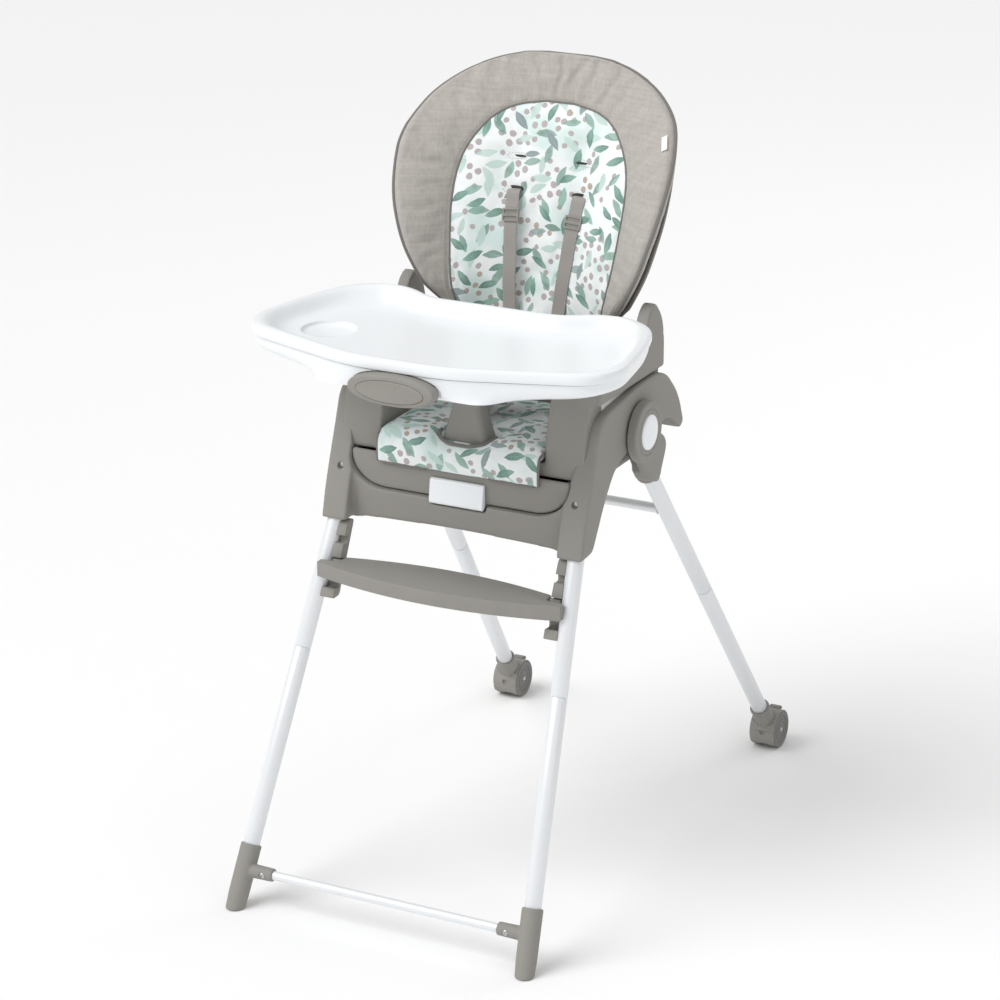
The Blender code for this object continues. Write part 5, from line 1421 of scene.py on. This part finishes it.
def stitch_tree():
    """Geometry Nodes: a mesh path becomes a row of rounded stitches."""
    if "stitch_row" in bpy.data.node_groups:
        return bpy.data.node_groups["stitch_row"]
    tree = bpy.data.node_groups.new("stitch_row", "GeometryNodeTree")
    tree_input(tree, "Path", "NodeSocketGeometry")
    tree_input(tree, "Stitch Length", "NodeSocketFloat", 0.0032)
    tree_input(tree, "Gap", "NodeSocketFloat", 0.0016)
    tree_input(tree, "Thickness", "NodeSocketFloat", 0.00045)
    tree_input(tree, "Finish", "NodeSocketMaterial")
    tree.interface.new_socket("Stitches", in_out="OUTPUT", socket_type="NodeSocketGeometry")
    source, result = tree.nodes.new("NodeGroupInput"), tree.nodes.new("NodeGroupOutput")
    curve = node(tree, "GeometryNodeMeshToCurve", {0: source.outputs["Path"]})
    pitch = maths(tree, "ADD", source.outputs["Stitch Length"], source.outputs["Gap"])
    even = node(tree, "GeometryNodeResampleCurve", {"Curve": curve.outputs[0], "Length": pitch}, mode="LENGTH")
    thread = node(tree, "GeometryNodeMeshUVSphere", {"Segments": 6, "Rings": 5, "Radius": 1.0})
    heading = node(tree, "FunctionNodeAlignRotationToVector",
                   {"Vector": node(tree, "GeometryNodeInputTangent").outputs[0]}, axis="Z")
    half = maths(tree, "MULTIPLY", source.outputs["Stitch Length"], 0.5)
    size = node(tree, "ShaderNodeCombineXYZ", {0: source.outputs["Thickness"], 1: source.outputs["Thickness"],
                                               2: half})
    copies = node(tree, "GeometryNodeInstanceOnPoints", {"Points": even.outputs[0], "Instance": thread.outputs[0],
                                                         "Rotation": heading.outputs[0], "Scale": size.outputs[0]})
    solid = node(tree, "GeometryNodeRealizeInstances", {0: copies.outputs[0]})
    named = node(tree, "GeometryNodeSetMaterial", {"Geometry": solid.outputs[0],
                                                   "Material": source.outputs["Finish"]})
    tree.links.new(named.outputs[0], result.inputs[0])
    return tree


def stitch_run(name, path, body, length=None, thickness=0.00045):
    """A row of stitches along a path of points, riding on one body."""
    sizes = bpy.context.scene.high_chair_sizes
    mesh = bpy.data.meshes.new(name)
    mesh.from_pydata([tuple(p) for p in path], [(i, i + 1) for i in range(len(path) - 1)], [])
    obj = linked(name, mesh)
    tree = stitch_tree()
    modifier = obj.modifiers.new("stitches", "NODES")
    modifier.node_group = tree
    values = {"Stitch Length": length or sizes.stitch_length, "Gap": sizes.stitch_gap, "Thickness": thickness,
              "Finish": finish("thread")}
    for item in tree.interface.items_tree:
        if item.name in values:
            modifier[item.identifier] = values[item.name]
    return placed(settled(obj), body, "thread", (), 0)


def tube_along(name, path, radius, sides=10):
    """A closed tube along points, with the print map running along it."""
    verts, places, run, side = [], [], 0.0, None
    for index, point in enumerate(path):
        ahead = (path[min(index + 1, len(path) - 1)] - path[max(index - 1, 0)]).normalized()
        if side is None:
            side = ahead.orthogonal().normalized()
        side = (side - ahead * side.dot(ahead)).normalized()
        other = ahead.cross(side)
        if index:
            run += (point - path[index - 1]).length
        for step in range(sides):
            angle = 2 * math.pi * step / sides
            verts.append(point + (side * math.cos(angle) + other * math.sin(angle)) * radius)
            places.append((radius * angle, run))
    return capped_sleeve(name, verts, places, sides)


def seam_line(name, path, body, material, radius):
    return placed(tube_along(name, path, radius), body, material, (), 0)


def smooth_path(points, steps=12):
    """A smooth run of points through the given ones."""
    points = [Vector(p) for p in points]
    result = []
    for index in range(len(points) - 1):
        before, low = points[max(index - 1, 0)], points[index]
        high, after = points[index + 1], points[min(index + 2, len(points) - 1)]
        for step in range(steps):
            t = step / steps
            result.append(0.5 * ((2 * low) + (high - before) * t + (2 * before - 5 * low + 4 * high - after) * t ** 2
                                 + (3 * low - before - 3 * high + after) * t ** 3))
    return result + [points[-1]]


def ribbon(name, points, width, facing, thickness=0.0015, steps=12):
    """Webbing along a smooth run of points, its broad side turned to the direction facing."""
    path = smooth_path(points, steps)
    section = oval(width / 2, thickness / 2, (0, 0), 20, 0.35)
    verts, places, run = [], [], 0.0
    for index, point in enumerate(path):
        ahead = (path[min(index + 1, len(path) - 1)] - path[max(index - 1, 0)]).normalized()
        toward = Vector(facing)
        side = ahead.cross(toward).normalized()
        normal = side.cross(ahead)
        if index:
            run += (point - path[index - 1]).length
        for x, z in section:
            verts.append(point + side * x + normal * z)
            places.append((x, run))
    obj = capped_sleeve(name, verts, places, len(section))
    faced_out(obj.data)
    return obj


class HIGH_CHAIR_OT_seat_pad(bpy.types.Operator):
    """Sews the seat pad and its front flap"""
    bl_idname = "high_chair.seat_pad"
    bl_label = "Seat pad"

    def execute(self, context):
        front, floor, rear, half, top = -0.1658, SEAT_FLOOR_Z + 0.0003, 0.0240, 0.1160, 0.6115
        outer = smooth_path([(0, -0.1806, 0.5645), (0, -0.1815, 0.5800), (0, -0.1805, 0.5950), (0, -0.1745, 0.6060),
                             (0, -0.1600, top - 0.0005), (0, -0.1200, top), (0, -0.0700, top - 0.0008),
                             (0, -0.0200, top), (0, 0.0120, top - 0.001), (0, rear - 0.003, top - 0.0045),
                             (0, rear, 0.6020)], 7)
        inner = smooth_path([(0, -0.1762, 0.5640), (0, -0.1762, 0.5750), (0, -0.1762, 0.5885), (0, -0.1700, floor),
                             (0, front, floor), (0, -0.1200, floor), (0, -0.0700, floor), (0, -0.0200, floor),
                             (0, 0.0120, floor), (0, rear - 0.003, floor), (0, rear, 0.5980)], 7)
        columns, rows = 73, len(outer)
        arc = [0.0]
        for low, high in zip(outer, outer[1:]):
            arc.append(arc[-1] + (high - low).length)

        def skin(s, t):
            row = round(t * (rows - 1))
            x = half * math.sin(s * math.pi / 2 * 0.9) / math.sin(math.pi / 2 * 0.9)
            low = (outer[row] + inner[row]) / 2
            notch = 1 / (1 + math.exp(-(-0.1200 - low.y) / 0.0020)) * math.exp(-(abs(x) / 0.0400) ** 10)
            sink = 0.5 * notch
            point = Vector((x, outer[row].y, outer[row].z))
            return (point * (1 - sink) + Vector((x, low.y, low.z)) * sink, inner[row], (x, arc[row] - 0.7),
                    notch)

        front_side, rear_side, prints, borders = [], [], [], []
        for row in range(rows):
            for column in range(columns):
                s = column / (columns - 1) * 2 - 1
                point, under, place, notch = skin(s, row / (rows - 1))
                x = point.x
                middle = Vector((x, (outer[row].y + under.y) / 2, (outer[row].z + under.z) / 2))
                edge = min(half - abs(x), arc[row], arc[-1] - arc[row])
                near = 1 - min(max(edge, 0) / 0.010, 1)
                full = math.sqrt(max(1 - near * near, 0))
                front_side.append(middle.lerp(Vector((x, outer[row].y, outer[row].z)), full * (1 - notch * 0.98)))
                rear_side.append(middle.lerp(Vector((x, under.y, under.z)), full * (1 - notch * 0.98)))
                prints.append(place)
                borders.append(-0.02)
        pad = mesh_object("seat_pad_cloth", front_side + rear_side, skin_faces(rows, columns))
        mark_skins(pad.data, prints, borders)
        faced_out(pad.data, 0.0001)
        rear = np.empty(len(pad.data.vertices))
        pad.data.attributes["rear_side"].data.foreach_get("value", rear)
        place = np.array([v.co[:] for v in pad.data.vertices])
        held = np.maximum(rear, np.clip((np.abs(place[:, 0]) - half + 0.006) / 0.006, 0, 1))
        held = np.maximum(held, (place[:, 1] < -0.118) * (np.abs(place[:, 0]) < 0.041))
        held = np.maximum(held, np.exp(-((place[:, 1] + 0.062) / 0.004) ** 2))
        pad = swollen(pad, held, 0.0040, 3.0)
        placed(pad, "seat", "leaf_fabric", ["seat_pad"], 0)
        hem = []
        for step in range(41):
            x = -half + 0.004 + (2 * half - 0.008) * step / 40
            if abs(x) > 0.040:
                hem.append(Vector((x, -0.1784, 0.5642)))
        ray = Ray(pad)
        collar = []
        for x, y in rounded([(-0.0400, -0.1190, 0.002), (-0.0400, -0.1560, 0.02), (-0.0200, -0.1715, 0.01),
                             (0.0200, -0.1715, 0.01), (0.0400, -0.1560, 0.02), (0.0400, -0.1190, 0.002)], 0.002)[9:-9]:
            hit = ray.tree.ray_cast(Vector((x, y - MIDDLE_Y, 0.7)), Vector((0, 0, -1)))[0]
            collar.append(Vector((x, y, min(hit.z + 0.0006, 0.6125) if hit else 0.6115)))
        seam_line("notch_piping", collar, "seat", "piping", 0.0026)
        for side, mark in ((1, "R"), (-1, "L")):
            edge = [p + Vector((side * half, 0, 0)) for p in smooth_path([(0, -0.1785, 0.5650), (0, -0.1790, 0.5820),
                    (0, -0.1775, 0.5960), (0, -0.1700, 0.6030), (0, -0.1400, 0.6035), (0, -0.0600, 0.6035),
                    (0, 0.0150, 0.6035)], 6)]
            seam_line(f"side_piping_{mark}", edge, "seat", "piping", 0.0018)
        for side, mark in ((-1, "L"), (1, "R")):
            seam_line(f"flap_piping_{mark}", [p for p in hem if p.x * side > 0], "seat", "piping", 0.0017)
        return {"FINISHED"}


class HIGH_CHAIR_OT_harness(bpy.types.Operator):
    """Threads the shoulder, waist and crotch straps into the buckle"""
    bl_idname = "high_chair.harness"
    bl_label = "Harness"

    def execute(self, context):
        ray = Ray(bpy.data.objects["back_pad_cloth"])
        top, low = Vector((0.0480, 0.0760, 0.8740)), Vector((0.0330, 0.0330, 0.6900))
        points = []
        for step in range(13):
            place = top.lerp(low, step / 12)
            hits = [ray.front(place.x + side, place.z, 0.0016) for side in (-0.008, 0.0, 0.008)]
            place.y = min([place.y] + [hit.y for hit in hits if hit]) if step else hits[1].y + 0.004
            points.append(place)
        points[0] = points[0] + Vector((0, 0.001, 0.0015))
        points.insert(1, points[0].lerp(points[1], 0.22) + Vector((0, -0.0062, 0.0)))
        strap = ribbon("shoulder_webbing_R", points, 0.0190, (0, -1, 0.15))
        both_sides(strap, "back", "webbing", ["shoulder_strap"], 40)
        buckle_strap = ribbon("lower_webbing_R", [points[-1] + Vector((0, -0.0004, 0.004)), (0.0305, 0.0150, 0.6740),
                                                  (0.0240, -0.0180, 0.6500), (0.0170, -0.0480, 0.6420)],
                              0.0188, (0, -1, 0.6))
        other = mirror_copy(buckle_strap, "lower_webbing_L")
        for webbing, side in ((buckle_strap, 1), (other, -1)):
            placed(webbing, None, "webbing", (), 40)
            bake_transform(webbing)
        waist = ribbon("waist_webbing_R", [(0.1000, 0.0050, 0.6200), (0.0850, -0.0080, 0.6290),
                                           (0.0600, -0.0330, 0.6370), (0.0190, -0.0630, 0.6390)], 0.0190,
                       (0, -0.3, 1))
        both_sides(waist, "seat", "webbing", ["waist_strap"], 40)
        crotch = ribbon("crotch_webbing", [(0, -0.1150, 0.6150), (0, -0.1080, 0.6240), (0, -0.0980, 0.6320),
                                           (0, -0.0840, 0.6370)], 0.0190, (0, -1, 1))
        placed(crotch, "seat", "webbing", ["crotch_strap"], 40)
        body = block("buckle_moulding", (-0.0210, -0.0860, 0.6320), (0.0210, -0.0440, 0.6450), 0.92, 0.0036, 5)
        press = rod("press", (0, -0.0650, 0.6430), (0, -0.0650, 0.6452), 0.0085)
        groove = turned("groove", [(0.0094, 0.003), (0.0102, 0.003), (0.0102, 0.0), (0.0094, 0.0)],
                        along((0, -0.0650, 0.6440), (0, -0.0650, 0.66)), 48)
        placed(cut(joined(body, press), groove), "seat", "grey_plastic", ["buckle"])

        middle = points[3] + Vector((0, -0.0008, 0))
        run = (points[4] - points[2]).normalized()
        side = run.cross(Vector((0, -1, 0))).normalized()
        face = Matrix((side, run, side.cross(run))).transposed().to_4x4()
        face.translation = middle
        frame = slab("strap_slider_moulding_R", rounded([(-0.0120, -0.0085), (0.0120, -0.0085), (0.0120, 0.0085),
                                                         (-0.0120, 0.0085)], 0.002), -0.0015, 0.0022, face)
        for y in (-0.0042, 0.0042):
            frame = cut(frame, slab("window", rounded([(-0.0098, y - 0.0022), (0.0098, y - 0.0022),
                                                       (0.0098, y + 0.0022), (-0.0098, y + 0.0022)], 0.0008),
                                    0.0004, 0.01, face))
        both_sides(softened(frame, 0.0004, 2, 50), "back", "grey_plastic", ["strap_slider"])
        for offset, name in ((0.0080, "outer"), (-0.0080, "inner")):
            edge = [p + side * offset + Vector((0, -0.0009, 0)) for p in smooth_path(points[2:], 8)]
            for mark, sign in (("R", 1), ("L", -1)):
                stitch_run(f"strap_stitches_{name}_{mark}",
                           [Vector((sign * p.x, p.y, p.z)) for p in edge], "back", 0.0026, 0.0003)
        return {"FINISHED"}


class HIGH_CHAIR_OT_labels(bpy.types.Operator):
    """Adds the blank tag on the pad and the blank label on the arm"""
    bl_idname = "high_chair.labels"
    bl_label = "Blank labels"

    def execute(self, context):
        z, u = 0.965, 0.955 * pad_reach(0.965)
        point, normal = back_point(u, z), back_normal(u, z)
        up = (back_point(u, z + 0.01) - back_point(u, z - 0.01)).normalized()
        out = up.cross(normal).normalized()
        place = Matrix((out, up, out.cross(up))).transposed().to_4x4()
        place.translation = point + normal * 0.0016
        tag = slab("blank_tag", rounded([(-0.0045, -0.011), (0.0045, -0.011), (0.0045, 0.011), (-0.0045, 0.011)],
                                        0.001), -0.0004, 0.0004, place)
        placed(tag, "back", "blank_label")
        outline = rounded([(-0.1180, 0.6480), (0.0, 0.6480), (0.0, 0.6870), (-0.1180, 0.6870)], 0.003)
        label = slab("blank_arm_label", outline, 0.1740, 0.1749, YZ)
        placed(label, "seat", "blank_label")
        return {"FINISHED"}


class HIGH_CHAIR_PT_panel(bpy.types.Panel):
    """Lists the pieces of the chair"""
    bl_idname = "HIGH_CHAIR_PT_panel"
    bl_label = "High Chair"
    bl_space_type = "VIEW_3D"
    bl_region_type = "UI"
    bl_category = "High Chair"

    def draw(self, context):
        for operator in OPERATORS:
            self.layout.operator(operator.bl_idname)
        for settings in (context.scene.high_chair_sizes, context.scene.high_chair_colours):
            box = self.layout.box()
            for name in settings.bl_rna.properties.keys():
                if name not in ("name", "rna_type"):
                    box.prop(settings, name)


OPERATORS = (HIGH_CHAIR_OT_stage, HIGH_CHAIR_OT_tubes, HIGH_CHAIR_OT_feet, HIGH_CHAIR_OT_cover, HIGH_CHAIR_OT_hubs,
             HIGH_CHAIR_OT_casters, HIGH_CHAIR_OT_footrest, HIGH_CHAIR_OT_seat, HIGH_CHAIR_OT_tray,
             HIGH_CHAIR_OT_back, HIGH_CHAIR_OT_back_pad, HIGH_CHAIR_OT_seat_pad, HIGH_CHAIR_OT_harness,
             HIGH_CHAIR_OT_labels)
CLASSES = (HighChairColours, HighChairSizes, *OPERATORS, HIGH_CHAIR_PT_panel)


def register():
    for made in CLASSES:
        bpy.utils.register_class(made)
    bpy.types.Scene.high_chair_colours = PointerProperty(type=HighChairColours)
    bpy.types.Scene.high_chair_sizes = PointerProperty(type=HighChairSizes)


def unregister():
    del bpy.types.Scene.high_chair_sizes
    del bpy.types.Scene.high_chair_colours
    for made in reversed(CLASSES):
        bpy.utils.unregister_class(made)


def main():
    register()
    for operator in OPERATORS:
        group, name = operator.bl_idname.split(".")
        getattr(getattr(bpy.ops, group), name)()
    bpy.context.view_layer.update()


if __name__ == "__main__":
    main()
